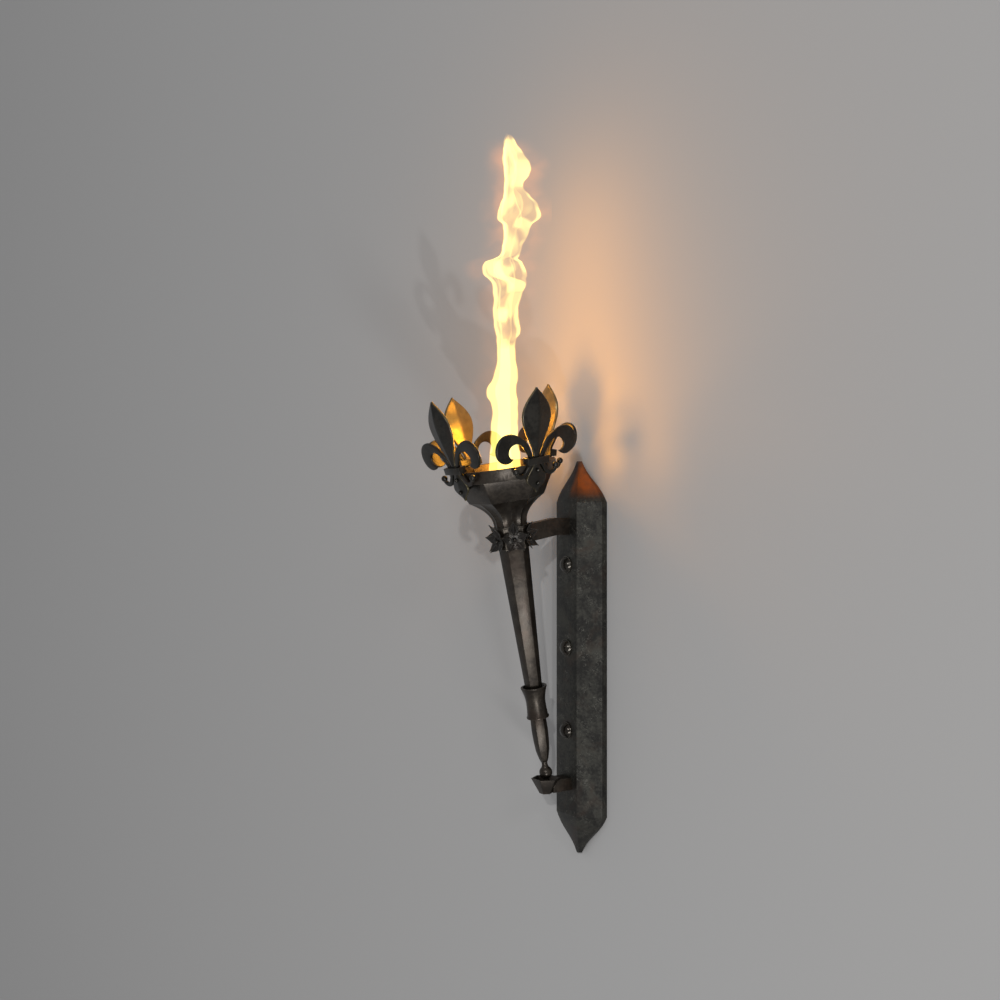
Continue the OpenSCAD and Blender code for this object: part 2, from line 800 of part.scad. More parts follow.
// The scrolled bar is given by its inner and outer edge, from the upper eye down through
// the band to the small lower hook. Angles run from the side that faces the petal.
bar_w = 7;
bar_in = neck_half + 0.8;
bevel_deep = 0.8; // the front edges are bevelled by this much
bevel_wide = 2;

// Upper scroll: its eye, the bar's width where it leaves the band, and where it is fullest
scroll_up = 16;
eye_end = 260;
eye_open = 12;
full_at = 150;
root_w = 9.6;
function eye_r(a) = scroll_eye + eye_open * exp(-(a + 5) / 70);
function bar_at(a) = a > full_at
  ? tip_half + (scroll_w - tip_half) * cos(90 * (a - full_at) / (eye_end - full_at))
  : root_w + (scroll_w - root_w) * pow(max(0, sin(90 * (a - 30) / (full_at - 30))), 3);
function from_eye(a, r) = [scroll_x - r * cos(a), scroll_up + r * sin(a)];

// Lower hook: a small spiral that ends in a ball
hook_x = 25.6;
hook_z = -12.5;
hook_in = 4.6;
hook_open = 2.6;
function hook_r(a) = hook_in + hook_open * exp(-a / 30) + 3 * pow(a / 180, 2);
function hook_w(a) = 7.6 - a / 70;
function from_hook(a, r) = [hook_x - r * cos(a), hook_z - r * sin(a)];

scroll_edges = [
  for (a = [eye_end:-20:0]) [from_eye(a, eye_r(a)), from_eye(a, eye_r(a) + bar_at(a))],
  for (z = [band_h / 2, -band_h / 2]) [[bar_in + bar_w, z], [bar_in, z]],
  for (a = [0:30:180]) [from_hook(a, hook_r(a)), from_hook(a, hook_r(a) + hook_w(a))]
];

// A bar with bevelled front edges and a flat back, mirrored for the other side
module scroll(turn, side) {
  ball = from_hook(180, hook_r(180) + hook_w(180) / 2);
  color(iron) on_torch() on_fleur(turn) mirror([side < 0 ? 1 : 0, 0, 0]) {
    loft([for (edge = scroll_edges) let (
      in = edge[0],
      out = edge[1],
      wide = norm(out - in),
      step = (out - in) * min(0.3, bevel_wide / wide),
      front = -min(bevel_deep, wide / 6)
    ) [
      [in[0], fleur_t, in[1]], [in[0], bevel_deep, in[1]], [in[0] + step[0], front, in[1] + step[1]],
      [out[0] - step[0], front, out[1] - step[1]], [out[0], bevel_deep, out[1]], [out[0], fleur_t, out[1]]
    ]]);
    translate([ball[0], fleur_t / 2, ball[1]]) sphere(r = scroll_ball_r);
  }
}

module fleur_scroll_front_a() scroll(fleur_turns[0], 1);
module fleur_scroll_front_b() scroll(fleur_turns[0], -1);
module fleur_scroll_right_a() scroll(fleur_turns[1], 1);
module fleur_scroll_right_b() scroll(fleur_turns[1], -1);
module fleur_scroll_back_a() scroll(fleur_turns[2], 1);
module fleur_scroll_back_b() scroll(fleur_turns[2], -1);
module fleur_scroll_left_a() scroll(fleur_turns[3], 1);
module fleur_scroll_left_b() scroll(fleur_turns[3], -1);

// The band wraps the petal and both bars
module band(turn) {
  half = bar_in + bar_w + fit;
  front = max(bevel_deep, petal_ridge * neck_half) + fit;
  deep = fleur_t + front + fit;
  color(iron) on_torch() on_fleur(turn) difference() {
    translate([-half - band_end, -front - band_wall, -band_h / 2])
      cube([2 * (half + band_end), deep + 2 * band_wall, band_h]);
    translate([-half, -front, -band_h]) cube([2 * half, deep, 2 * band_h]);
  }
}

module fleur_band_front() band(fleur_turns[0]);
module fleur_band_right() band(fleur_turns[1]);
module fleur_band_back() band(fleur_turns[2]);
module fleur_band_left() band(fleur_turns[3]);

// A rivet's head stands on the blade's ridge, and its shank runs back through the blade
module fleur_rivet(z, inside) {
  ridge = leaf_ridge * max(below_half(z - rivet_head_r), below_half(z + rivet_head_r));
  translate([0, -ridge - seat, z]) rotate([90, 0, 0]) {
    round_head(rivet_head_r);
    translate([0, 0, -ridge - inside]) cylinder(h = ridge + inside + 1, r = rivet_r);
  }
}

// Two a fleur: the upper one goes through the rim, the lower one stands on the bowl
module fleur_rivets() {
  through = fleur_t + 2 * rim_wall;
  to_bowl = 20;
  around = seat / hex_in;
  color(steel) on_torch() for (turn = fleur_turns) {
    on_fleur(turn) fleur_rivet(rivet_high, through);
    difference() {
      on_fleur(turn) fleur_rivet(rivet_low, to_bowl);
      translate([0, 0, neck_top]) cylinder(
        h = bowl_h + seat, r1 = neck_top_r + around, r2 = bowl_top_r + around, $fn = 6
      );
    }
  }
}

// ---- Burner ----

can_base = neck_top + seat;

module fuel_can() {
  color(tin) on_torch() translate([0, 0, can_base]) difference() {
    cylinder(h = can_h, r = can_r);
    translate([0, 0, can_wall]) cylinder(h = can_h, r = can_r - can_wall);
  }
}

// The lid plugs into the can and has a turned-up lip around its opening
module can_lid() {
  plug_r = can_r - can_wall - seat;
  plug_deep = 5;
  lip_up = 2.6;
  color(tin) on_torch() translate([0, 0, can_base + can_h]) rotate_extrude() polygon([
    [can_mouth_r, 0], [can_mouth_r, lip_up], [can_mouth_r + can_wall, lip_up],
    [can_mouth_r + 2 * can_wall, can_wall], [can_r, can_wall], [can_r, 0], [plug_r, 0],
    [plug_r, -plug_deep], [plug_r - can_wall, -plug_deep], [plug_r - can_wall, 0]
  ]);
}

// A fibre pad that soaks up the fuel and bulges into the lid's opening
module wick_pad() {
  pad_r = can_r - can_wall - 2;
  pad_top = can_h - 3;
  color("#3a342c") on_torch() translate([0, 0, can_base + can_wall + seat]) rotate_extrude() polygon([
    [0, 0], [pad_r - 2, 0], [pad_r, 2], [pad_r, pad_top - 9], [pad_r - 3, pad_top - 6],
    [can_mouth_r - 4, pad_top - 3], [can_mouth_r - 9, pad_top - 0.5], [0, pad_top]
  ]);
}

wall_strap();
mounting_studs();
wall_plate();
dome_nuts();
upper_arm();
lower_arm();
arm_washers();
arm_nuts();
collar_ring();
rosette_1();
rosette_2();
rosette_3();
rosette_4();
rosette_5();
rosette_rivets();
socket_cup();
rim_ring();
bowl();
neck();
shaft();
ferrule();
grip();
ball_finial();
tie_rod();
rod_washer();
rod_nut();
fleur_petal_front();
fleur_petal_right();
fleur_petal_back();
fleur_petal_left();
fleur_scroll_front_a();
fleur_scroll_front_b();
fleur_scroll_right_a();
fleur_scroll_right_b();
fleur_scroll_back_a();
fleur_scroll_back_b();
fleur_scroll_left_a();
fleur_scroll_left_b();
fleur_band_front();
fleur_band_right();
fleur_band_back();
fleur_band_left();
fleur_rivets();
fuel_can();
can_lid();
wick_pad();
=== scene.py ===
# %% [markdown]
# # A wall torch sconce of blackened wrought iron
# A forged torch leans out from a folded wall plate. A collar with five rosettes holds its
# shaft, a small cup holds its foot, and a bowl with four fleurs-de-lis crowns it.
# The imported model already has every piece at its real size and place. This script loads it,
# rounds what a smith would round, models the ornaments finely and gives each piece its metal.

import json
from math import atan2, cos, exp, pi, radians, sin

import bmesh
import bpy
from mathutils import Matrix, Vector

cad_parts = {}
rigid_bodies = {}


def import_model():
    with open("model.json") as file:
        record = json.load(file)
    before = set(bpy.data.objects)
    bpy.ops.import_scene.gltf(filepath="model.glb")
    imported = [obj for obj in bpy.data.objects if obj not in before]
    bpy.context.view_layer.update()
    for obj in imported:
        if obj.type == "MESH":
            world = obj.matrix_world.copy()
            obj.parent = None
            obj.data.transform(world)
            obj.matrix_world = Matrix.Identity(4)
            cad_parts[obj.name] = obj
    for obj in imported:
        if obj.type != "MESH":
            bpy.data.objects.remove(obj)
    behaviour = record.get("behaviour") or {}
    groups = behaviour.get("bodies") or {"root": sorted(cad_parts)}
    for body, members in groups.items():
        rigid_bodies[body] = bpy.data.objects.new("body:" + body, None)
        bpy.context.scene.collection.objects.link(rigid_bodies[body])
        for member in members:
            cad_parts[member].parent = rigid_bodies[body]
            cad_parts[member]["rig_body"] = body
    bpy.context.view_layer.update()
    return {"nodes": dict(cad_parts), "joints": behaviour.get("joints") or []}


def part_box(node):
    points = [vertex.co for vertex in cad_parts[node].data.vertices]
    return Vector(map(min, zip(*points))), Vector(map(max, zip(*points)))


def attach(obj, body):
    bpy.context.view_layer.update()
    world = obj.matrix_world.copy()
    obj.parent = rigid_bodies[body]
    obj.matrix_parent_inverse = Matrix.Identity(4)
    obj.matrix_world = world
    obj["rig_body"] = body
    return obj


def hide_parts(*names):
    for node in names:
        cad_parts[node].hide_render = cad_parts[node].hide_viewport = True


for leftover in list(bpy.data.objects):
    bpy.data.objects.remove(leftover)
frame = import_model()
nodes = frame["nodes"]
MM = 0.001

# %% [markdown]
# ## Helpers
# Colours are written as sRGB hex values, the way a paint card gives them, and one function
# turns them to the linear values that a shader needs. One more adds a node to any tree:
# a dictionary gives its inputs, each as a plain value or as the socket that feeds it.

# %% Colour and node helpers
def linear(hex_colour):
    """An sRGB hex colour as linear RGBA."""
    parts = [int(hex_colour[i:i + 2], 16) / 255 for i in (1, 3, 5)]
    return (*[c / 12.92 if c <= 0.04045 else ((c + 0.055) / 1.055) ** 2.4 for c in parts], 1.0)


def add(tree, kind, inputs=(), output=0, **settings):
    """Adds a node and returns one of its outputs, or the node itself where output is None.

    Inputs go in order, or by name in a dictionary: a plain value, a hex colour or a socket.
    """
    node = tree.nodes.new(kind)
    for name, value in settings.items():
        setattr(node, name, value)
    for name, value in inputs.items() if isinstance(inputs, dict) else enumerate(inputs):
        if isinstance(value, bpy.types.NodeSocket):
            tree.links.new(value, node.inputs[name])
        else:
            node.inputs[name].default_value = linear(value) if isinstance(value, str) else value
    return node if output is None else node.outputs[output]


MATH, RANGE, MIX = "ShaderNodeMath", "ShaderNodeMapRange", "ShaderNodeMix"
NOISE, CELLS, BUMP = "ShaderNodeTexNoise", "ShaderNodeTexVoronoi", "ShaderNodeBump"
SPLIT, JOIN = "ShaderNodeSeparateXYZ", "ShaderNodeCombineXYZ"
SOFT = {"interpolation_type": "SMOOTHSTEP"}
COLOUR = {"data_type": "RGBA", "output": 2}


# %% [markdown]
# A modifier, also a Geometry Nodes one, is settled into plain mesh before a piece is bound to
# its body. Then the mesh itself holds the shape, at the object's own origin.

# %% Mesh helpers
def new_piece(name, vertices, faces, matrix=Matrix.Identity(4)):
    """A mesh object from vertices in millimetres, placed by a matrix that is kept in its mesh."""
    mesh = bpy.data.meshes.new(name)
    mesh.from_pydata([Vector(v) * MM for v in vertices], [], faces)
    mesh.transform(matrix)
    piece = bpy.data.objects.new(name, mesh)
    bpy.context.scene.collection.objects.link(piece)
    return piece


def loft(rings):
    """The vertices and faces of a closed skin through rings that all have as many points."""
    count = len(rings[0])
    faces = [list(range(count)), [(len(rings) - 1) * count + i for i in reversed(range(count))]]
    for k in range(len(rings) - 1):
        for i in range(count):
            j = (i + 1) % count
            faces.append([k * count + i, (k + 1) * count + i, (k + 1) * count + j, k * count + j])
    return [point for ring in rings for point in ring], faces


def settle(piece):
    """Turns the modifiers of a piece into plain mesh."""
    bpy.context.view_layer.update()
    finished = piece.evaluated_get(bpy.context.evaluated_depsgraph_get())
    mesh = bpy.data.meshes.new_from_object(finished)
    piece.modifiers.clear()
    piece.data = mesh
    return piece


def smooth(piece, angle=40):
    """Smooth shading, with a crease wherever two faces meet at more than the angle."""
    mesh = piece.data
    form = bmesh.new()
    form.from_mesh(mesh)
    bmesh.ops.recalc_face_normals(form, faces=form.faces)
    form.to_mesh(mesh)
    form.free()
    mesh.polygons.foreach_set("use_smooth", [True] * len(mesh.polygons))
    mesh.set_sharp_from_angle(angle=radians(angle))
    return piece


def bind(piece, node, material):
    """Gives a piece its metal and its body, and hides the CAD node that it stands for."""
    piece.data.materials.clear()
    piece.data.materials.append(material)
    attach(piece, nodes[node]["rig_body"])
    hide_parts(node)


# %% [markdown]
# ## The torch's own axis
# The torch leans, so its pieces are modelled upright, with Z up the torch from the middle of
# the ball at its foot, and one matrix leans them into place. The lean comes from the joint
# that lets the torch lift out, and the ball's place from its box and from the low end of the
# tie rod, which sits in the ball a little above its middle.

# %% Where the torch stands
lift = next(joint for joint in frame["joints"] if joint["name"] == "torch_lift")
lean = atan2(-lift["axis"][1], lift["axis"][2])
ball_low, ball_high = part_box("ball_finial")
ROD_R = 3.0
ROD_START = 3.0
foot = Vector((0, (ball_low.y + ball_high.y) / 2, 0))
foot.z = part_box("tie_rod")[0].z + (ROD_R * sin(lean) - ROD_START * cos(lean)) * MM
on_torch = Matrix.Translation(foot) @ Matrix.Rotation(lean, 4, "X")


def span(node, matrix):
    """The lowest and highest corner of a CAD node, in millimetres, in another frame."""
    back = matrix.inverted()
    points = [back @ v.co / MM for v in nodes[node].data.vertices]
    return [Vector([pick(p[i] for p in points) for i in range(3)]) for pick in (min, max)]


print("lean", round(lean * 180 / pi, 2), "foot", [round(v / MM, 2) for v in foot])

# %% [markdown]
# ## The iron
# Wrought iron that was forged, blackened in hot oil and waxed. The oxide is nearly black and
# hides most of the metal, so the base is dark and only partly metallic; the wax gives it a
# fairly tight gloss, which makes whichever face looks at a lamp go pale. Clouds a few
# centimetres wide come from the fire, grains of a few millimetres from scale that flaked off,
# a brown tinge from rust and pale hairlines from years of wiping. The arrises are painted
# paler, partly as wear from tools and hands and partly as a painted highlight along each edge.
# A Bevel node finds them: where the softened normal leaves the true one, there is an edge.

# %% Iron finishes
def new_finish(name):
    """An empty material; returns it, its tree, its shader and the place on the piece."""
    material = bpy.data.materials.new(name)
    material.use_nodes = True
    tree = material.node_tree
    return material, tree, tree.nodes["Principled BSDF"], add(tree, "ShaderNodeTexCoord", output="Object")


def mottles(tree, place, sizes):
    """Noise textures by name, each from its blotches' width in mm, its detail and distortion."""
    return {name: add(tree, NOISE, {
        "Vector": place, "Scale": 1 / (size * MM), "Detail": detail, "Roughness": 0.6, "Distortion": bend,
    }) for name, (size, detail, bend) in sizes.items()}


def edge_wear_and_highlight(tree, radius_mm):
    """1 along arrises, which are painted pale, and 0 on flats."""
    flat = add(tree, "ShaderNodeNewGeometry", output="Normal")
    soft = add(tree, "ShaderNodeBevel", {"Radius": radius_mm * MM}, samples=6)
    along = add(tree, "ShaderNodeVectorMath", [flat, soft], "Value", operation="DOT_PRODUCT")
    return add(tree, RANGE, [along, 0.995, 0.9], **SOFT)


def forged_iron(name, dark, pale, rust, worn_and_highlight, rough, metal=0.7, dents=0.3, wear_and_highlight=0.4, hairlines=0.0):
    """Blackened iron between a dark and a paler oxide, with rust, hairlines and pale arrises: partly wear,
    partly a painted highlight.
    """
    material, tree, shader, place = new_finish(name)
    spots = mottles(tree, place, {
        "fire": (30, 6, 0.6), "scale": (4, 5, 0.3), "grain": (0.9, 3, 0), "rust": (48, 4, 0.8),
        "wiping": (9, 2.5, 1.6), "wiped": (20, 3, 0),
    })
    blotches = add(tree, MATH, [spots["fire"], 0.6], operation="MULTIPLY")
    cloudy = add(tree, MATH, [spots["scale"], 0.4, blotches], operation="MULTIPLY_ADD")
    mottle = add(tree, RANGE, [cloudy, 0.4, 0.62], **SOFT)
    oxide = add(tree, MIX, {0: mottle, 6: dark, 7: pale}, **COLOUR)
    rusty = add(tree, RANGE, [spots["rust"], 0.5, 0.72, 0.0, 0.5], **SOFT)
    tinged = add(tree, MIX, {0: rusty, 6: oxide, 7: rust}, **COLOUR)
    # A hairline runs where the noise passes its middle value
    off_line = add(tree, MATH, [spots["wiping"], 0.5, 0.012], operation="COMPARE")
    wiped = add(tree, RANGE, [spots["wiped"], 0.48, 0.62, 0.0, hairlines], **SOFT)
    lines = add(tree, MATH, [off_line, wiped], operation="MULTIPLY")
    lined = add(tree, MIX, {0: lines, 6: tinged, 7: worn_and_highlight}, **COLOUR)
    # Arrises are painted pale in patches: partly wear, partly a painted highlight along each edge
    pale_edge_patches = add(tree, RANGE, [spots["scale"], 0.3, 0.6, 0.0, wear_and_highlight], **SOFT)
    arris = add(tree, MATH, [edge_wear_and_highlight(tree, 1.4), pale_edge_patches], operation="MULTIPLY")
    tree.links.new(add(tree, MIX, {0: arris, 6: lined, 7: worn_and_highlight}, **COLOUR), shader.inputs["Base Color"])
    dull = add(tree, MATH, [arris, -0.4, mottle], operation="MULTIPLY_ADD")
    tree.links.new(add(tree, RANGE, [dull, 0.0, 1.0, *rough]), shader.inputs["Roughness"])
    shader.inputs["Metallic"].default_value = metal
    hammer = add(tree, CELLS, {"Vector": place, "Scale": 1 / (13 * MM), "Smoothness": 1.0}, "Distance",
                 feature="SMOOTH_F1")
    dimples = add(tree, BUMP, {"Height": hammer, "Strength": dents, "Distance": 0.8 * MM}, "Normal")
    skin = add(tree, MATH, [spots["grain"], 0.35, spots["scale"]], operation="MULTIPLY_ADD")
    tree.links.new(add(tree, BUMP, {
        "Height": skin, "Strength": 0.4, "Distance": 0.3 * MM, "Normal": dimples,
    }, "Normal"), shader.inputs["Normal"])
    return material


plate_iron = forged_iron("blackened_wrought_iron_plate", "#262523", "#3b3a35", "#382a22", "#74726a",
                         (0.36, 0.48), wear_and_highlight=0.2, hairlines=0.5)
arm_iron = forged_iron("browned_wrought_iron_arm", "#29241f", "#3a332c", "#402f25", "#70685f",
                       (0.36, 0.48), wear_and_highlight=0.25)
torch_iron = forged_iron("blackened_wrought_iron_torch", "#26211c", "#39332c", "#352a22", "#7f7a70",
                         (0.31, 0.4), hairlines=0.15)
fleur_iron = forged_iron("blackened_wrought_iron_fleur", "#21201d", "#302e2a", "#33261e", "#7b766c",
                         (0.28, 0.38), dents=0.15)
rosette_iron = forged_iron("waxed_wrought_iron_rosette", "#1c1a18", "#292623", "#2b211b", "#8d877d",
                           (0.32, 0.4), metal=0.6, dents=0.0, wear_and_highlight=0.25)
steel = forged_iron("oil_blackened_steel", "#2a2825", "#3f3c37", "#3b2e26", "#8f897f",
                    (0.16, 0.26), metal=0.85, dents=0.0)
irons = (plate_iron, arm_iron, torch_iron, fleur_iron, rosette_iron, steel)
print("irons:", [iron.name for iron in irons])

# %% [markdown]
# Fire changes the black, and the flame's light is painted in as well. The plate's top point is
# painted brown, most on its right half, which faces the flame: partly heat stain, partly painted
# flame light. The inner sides of the fleurs' petals face the flame and are painted a pale
# yellowish grey that its light turns gold: painted flame light. The first follows the place on
# the plate, the second an attribute that the petals' points will carry.

# %% Heat stain and painted flame light
BROWN_Z = (240 * MM, 262 * MM)  # the brown starts, and is full
BROWN_X = (0 * MM, 10 * MM)
BROWN_LEFT = 0.04


def tint_heat_stain_and_flame_light(material, colour, mask):
    """Blends a colour, in patches, into an iron's own by a mask from 0 to 1: heat stain and painted flame
    light.
    """
    tree = material.node_tree
    base = tree.nodes["Principled BSDF"].inputs["Base Color"]
    place = add(tree, "ShaderNodeTexCoord", output="Object")
    noise = add(tree, NOISE, {"Vector": place, "Scale": 1 / (9 * MM), "Detail": 4.0})
    patches = add(tree, RANGE, [noise, 0.35, 0.6, 0.7, 1.0])
    share = add(tree, MATH, [mask, patches], operation="MULTIPLY")
    stained_and_flame_lit = add(tree, MIX, {0: share, 6: base.links[0].from_socket, 7: colour}, **COLOUR)
    tree.links.new(stained_and_flame_lit, base)


plate_tree = plate_iron.node_tree
plate_place = add(plate_tree, "ShaderNodeTexCoord", output="Object")
spot = add(plate_tree, SPLIT, [plate_place], None).outputs
# The top point is painted brown, most on the right half that faces the flame: partly heat stain, partly
# painted flame light
top_end = add(plate_tree, RANGE, [spot["Z"], *BROWN_Z], **SOFT)
right_half = add(plate_tree, RANGE, [spot["X"], *BROWN_X, BROWN_LEFT, 1.0], **SOFT)
tint_heat_stain_and_flame_light(plate_iron, "#85481f", add(plate_tree, MATH, [top_end, right_half], operation="MULTIPLY"))
# The petals' inner sides face the flame and are painted paler, so that its light turns them gold: painted
# flame light
inner_side = add(fleur_iron.node_tree, "ShaderNodeAttribute", output="Fac", attribute_name="inner")
tint_heat_stain_and_flame_light(fleur_iron, "#6f6446", inner_side)
print("scorched in places:", plate_iron.name, "and", fleur_iron.name)

# %% [markdown]
# The fuel can is tinplate, grey and a little dull from heat, and its wick is mineral fibre
# that the flame has charred: rough, without shine, and full of loose strands.

# %% Burner finishes
def tinplate():
    """Rolled sheet with a coat of tin: a bright metal with faint spangles and heat stains."""
    material, tree, shader, place = new_finish("heat_dulled_tinplate")
    spots = mottles(tree, place, {"heat": (22, 5, 0.5), "grain": (1.5, 4, 0)})
    spangle = add(tree, CELLS, {"Vector": place, "Scale": 1 / (5 * MM)}, "Color")
    stain = add(tree, RANGE, [spots["heat"], 0.4, 0.7], **SOFT)
    tin = add(tree, MIX, {0: stain, 6: "#8a877f", 7: "#574d40"}, **COLOUR)
    tree.links.new(add(tree, MIX, {0: 0.12, 6: tin, 7: spangle}, blend_type="OVERLAY", **COLOUR),
                   shader.inputs["Base Color"])
    tree.links.new(add(tree, RANGE, [stain, 0.0, 1.0, 0.28, 0.58]), shader.inputs["Roughness"])
    shader.inputs["Metallic"].default_value = 0.9
    tree.links.new(add(tree, BUMP, {
        "Height": spots["grain"], "Strength": 0.2, "Distance": 0.1 * MM,
    }, "Normal"), shader.inputs["Normal"])
    return material


def charred_fibre():
    """Felted, charred mineral fibre, in black and grey-brown strands."""
    material, tree, shader, place = new_finish("charred_mineral_fibre")
    strands = mottles(tree, place, {"strands": (1.6, 8, 2.5)})["strands"]
    ash = add(tree, RANGE, [strands, 0.35, 0.7], **SOFT)
    tree.links.new(add(tree, MIX, {0: ash, 6: "#15120f", 7: "#4b4238"}, **COLOUR),
                   shader.inputs["Base Color"])
    shader.inputs["Roughness"].default_value = 0.92
    tree.links.new(add(tree, BUMP, {
        "Height": strands, "Strength": 0.8, "Distance": 0.6 * MM,
    }, "Normal"), shader.inputs["Normal"])
    return material


def dress(names, material):
    """Gives CAD nodes that keep their own mesh a finish."""
    for name in names:
        nodes[name].data.materials.clear()
        nodes[name].data.materials.append(material)
    print(material.name, "on", len(names), "nodes")


dress(("fuel_can", "can_lid"), tinplate())
dress(("wick_pad",), charred_fibre())

# %% [markdown]
# ## Plain forged pieces
# Plate, arms, collar, cup, bowl, rim, shaft, ferrule, grip and bands have the right shape in
# the model already, but their arrises are knife-sharp, and no smith leaves them so. Each is
# copied, its loose triangles are merged into whole faces, and a narrow bevel rounds every
# arris, which then catches the light as a thin line.

# %% Round the arrises of the plain pieces
def forged(node, arris_mm, material, crease=40):
    """A copy of a CAD node with merged faces and rounded arrises."""
    source = nodes[node].data
    piece = new_piece("iron_" + node, [v.co / MM for v in source.vertices],
                      [tuple(face.vertices) for face in source.polygons])
    form = bmesh.new()
    form.from_mesh(piece.data)
    bmesh.ops.remove_doubles(form, verts=form.verts, dist=0.002 * MM)
    bmesh.ops.dissolve_limit(form, angle_limit=radians(0.6), verts=form.verts, edges=form.edges)
    form.to_mesh(piece.data)
    form.free()
    bevel = piece.modifiers.new("arris", "BEVEL")
    bevel.width = arris_mm * MM
    bevel.segments = 2
    bevel.limit_method = "ANGLE"
    bevel.angle_limit = radians(28)
    bevel.harden_normals = False
    settle(piece)
    smooth(piece, crease)
    bind(piece, node, material)
    return piece


PLATE_CREASE = 12  # degrees: the plate's folds are shallow
PLAIN_PIECES = {  # the arris in mm, and the iron
    "wall_plate": (0.8, plate_iron), "upper_arm": (0.8, arm_iron), "lower_arm": (0.8, arm_iron),
    "collar_ring": (0.5, torch_iron), "socket_cup": (0.5, arm_iron), "bowl": (0.5, torch_iron),
    "rim_ring": (0.4, torch_iron), "shaft": (0.6, torch_iron), "ferrule": (0.4, torch_iron),
    "grip": (0.6, torch_iron), "ball_finial": (0.3, torch_iron), "fleur_band_front": (0.8, fleur_iron),
    "fleur_band_right": (0.8, fleur_iron), "fleur_band_back": (0.8, fleur_iron),
    "fleur_band_left": (0.8, fleur_iron),
}
for node, (arris, material) in PLAIN_PIECES.items():
    made = forged(node, arris, material, PLATE_CREASE if node == "wall_plate" else 40)
    print(made.name, len(made.data.polygons), "faces")

dress(("wall_strap", "mounting_studs", "dome_nuts", "arm_washers", "arm_nuts", "rosette_rivets",
       "tie_rod", "rod_washer", "rod_nut", "fleur_rivets"), steel)

# %% [markdown]
# ## Forms that follow a rule
# A form that is a rule and not a sketch can be grown by Geometry Nodes. Three helpers serve
# every such tree: one opens it with named inputs, one ends it with real geometry in its
# material, and one runs it on an empty piece and keeps the plain mesh.

# %% Geometry tree helpers
def start_tree(name, inputs):
    """A geometry tree with named inputs; returns the tree, its group input and the sockets."""
    tree = bpy.data.node_groups.new(name, "GeometryNodeTree")
    tree.interface.new_socket(name="Geometry", in_out="OUTPUT", socket_type="NodeSocketGeometry")
    sockets = {}
    for label, (kind, value) in inputs.items():
        socket = tree.interface.new_socket(name=label, in_out="INPUT", socket_type="NodeSocket" + kind)
        if value is not None:
            socket.default_value = value
        sockets[label] = socket
    return tree, add(tree, "NodeGroupInput", output=None).outputs, sockets


def end_tree(tree, geometry, material):
    """Every tree ends with real geometry in its material."""
    real = add(tree, "GeometryNodeRealizeInstances", [geometry])
    dressed = add(tree, "GeometryNodeSetMaterial", {"Geometry": real, "Material": material})
    add(tree, "NodeGroupOutput", [dressed], None)


def grow(name, tree, sockets, values, matrix, angle=40):
    """Runs a tree and keeps its result as a plain mesh in its place."""
    piece = new_piece(name, [(0, 0, 0)], [])
    modifier = piece.modifiers.new(tree.name, "NODES")
    modifier.node_group = tree
    for label, value in values.items():
        modifier[sockets[label].identifier] = value
    settle(piece)
    piece.data.transform(matrix)
    return smooth(piece, angle)


# %% [markdown]
# ## The fluted neck
# Above the collar the neck flares up to the six-sided bowl, and its flutes fade out on the
# way. Its tree takes a cylinder, moves every point by its height and its angle, and cuts out
# the well for the tie rod's nut.

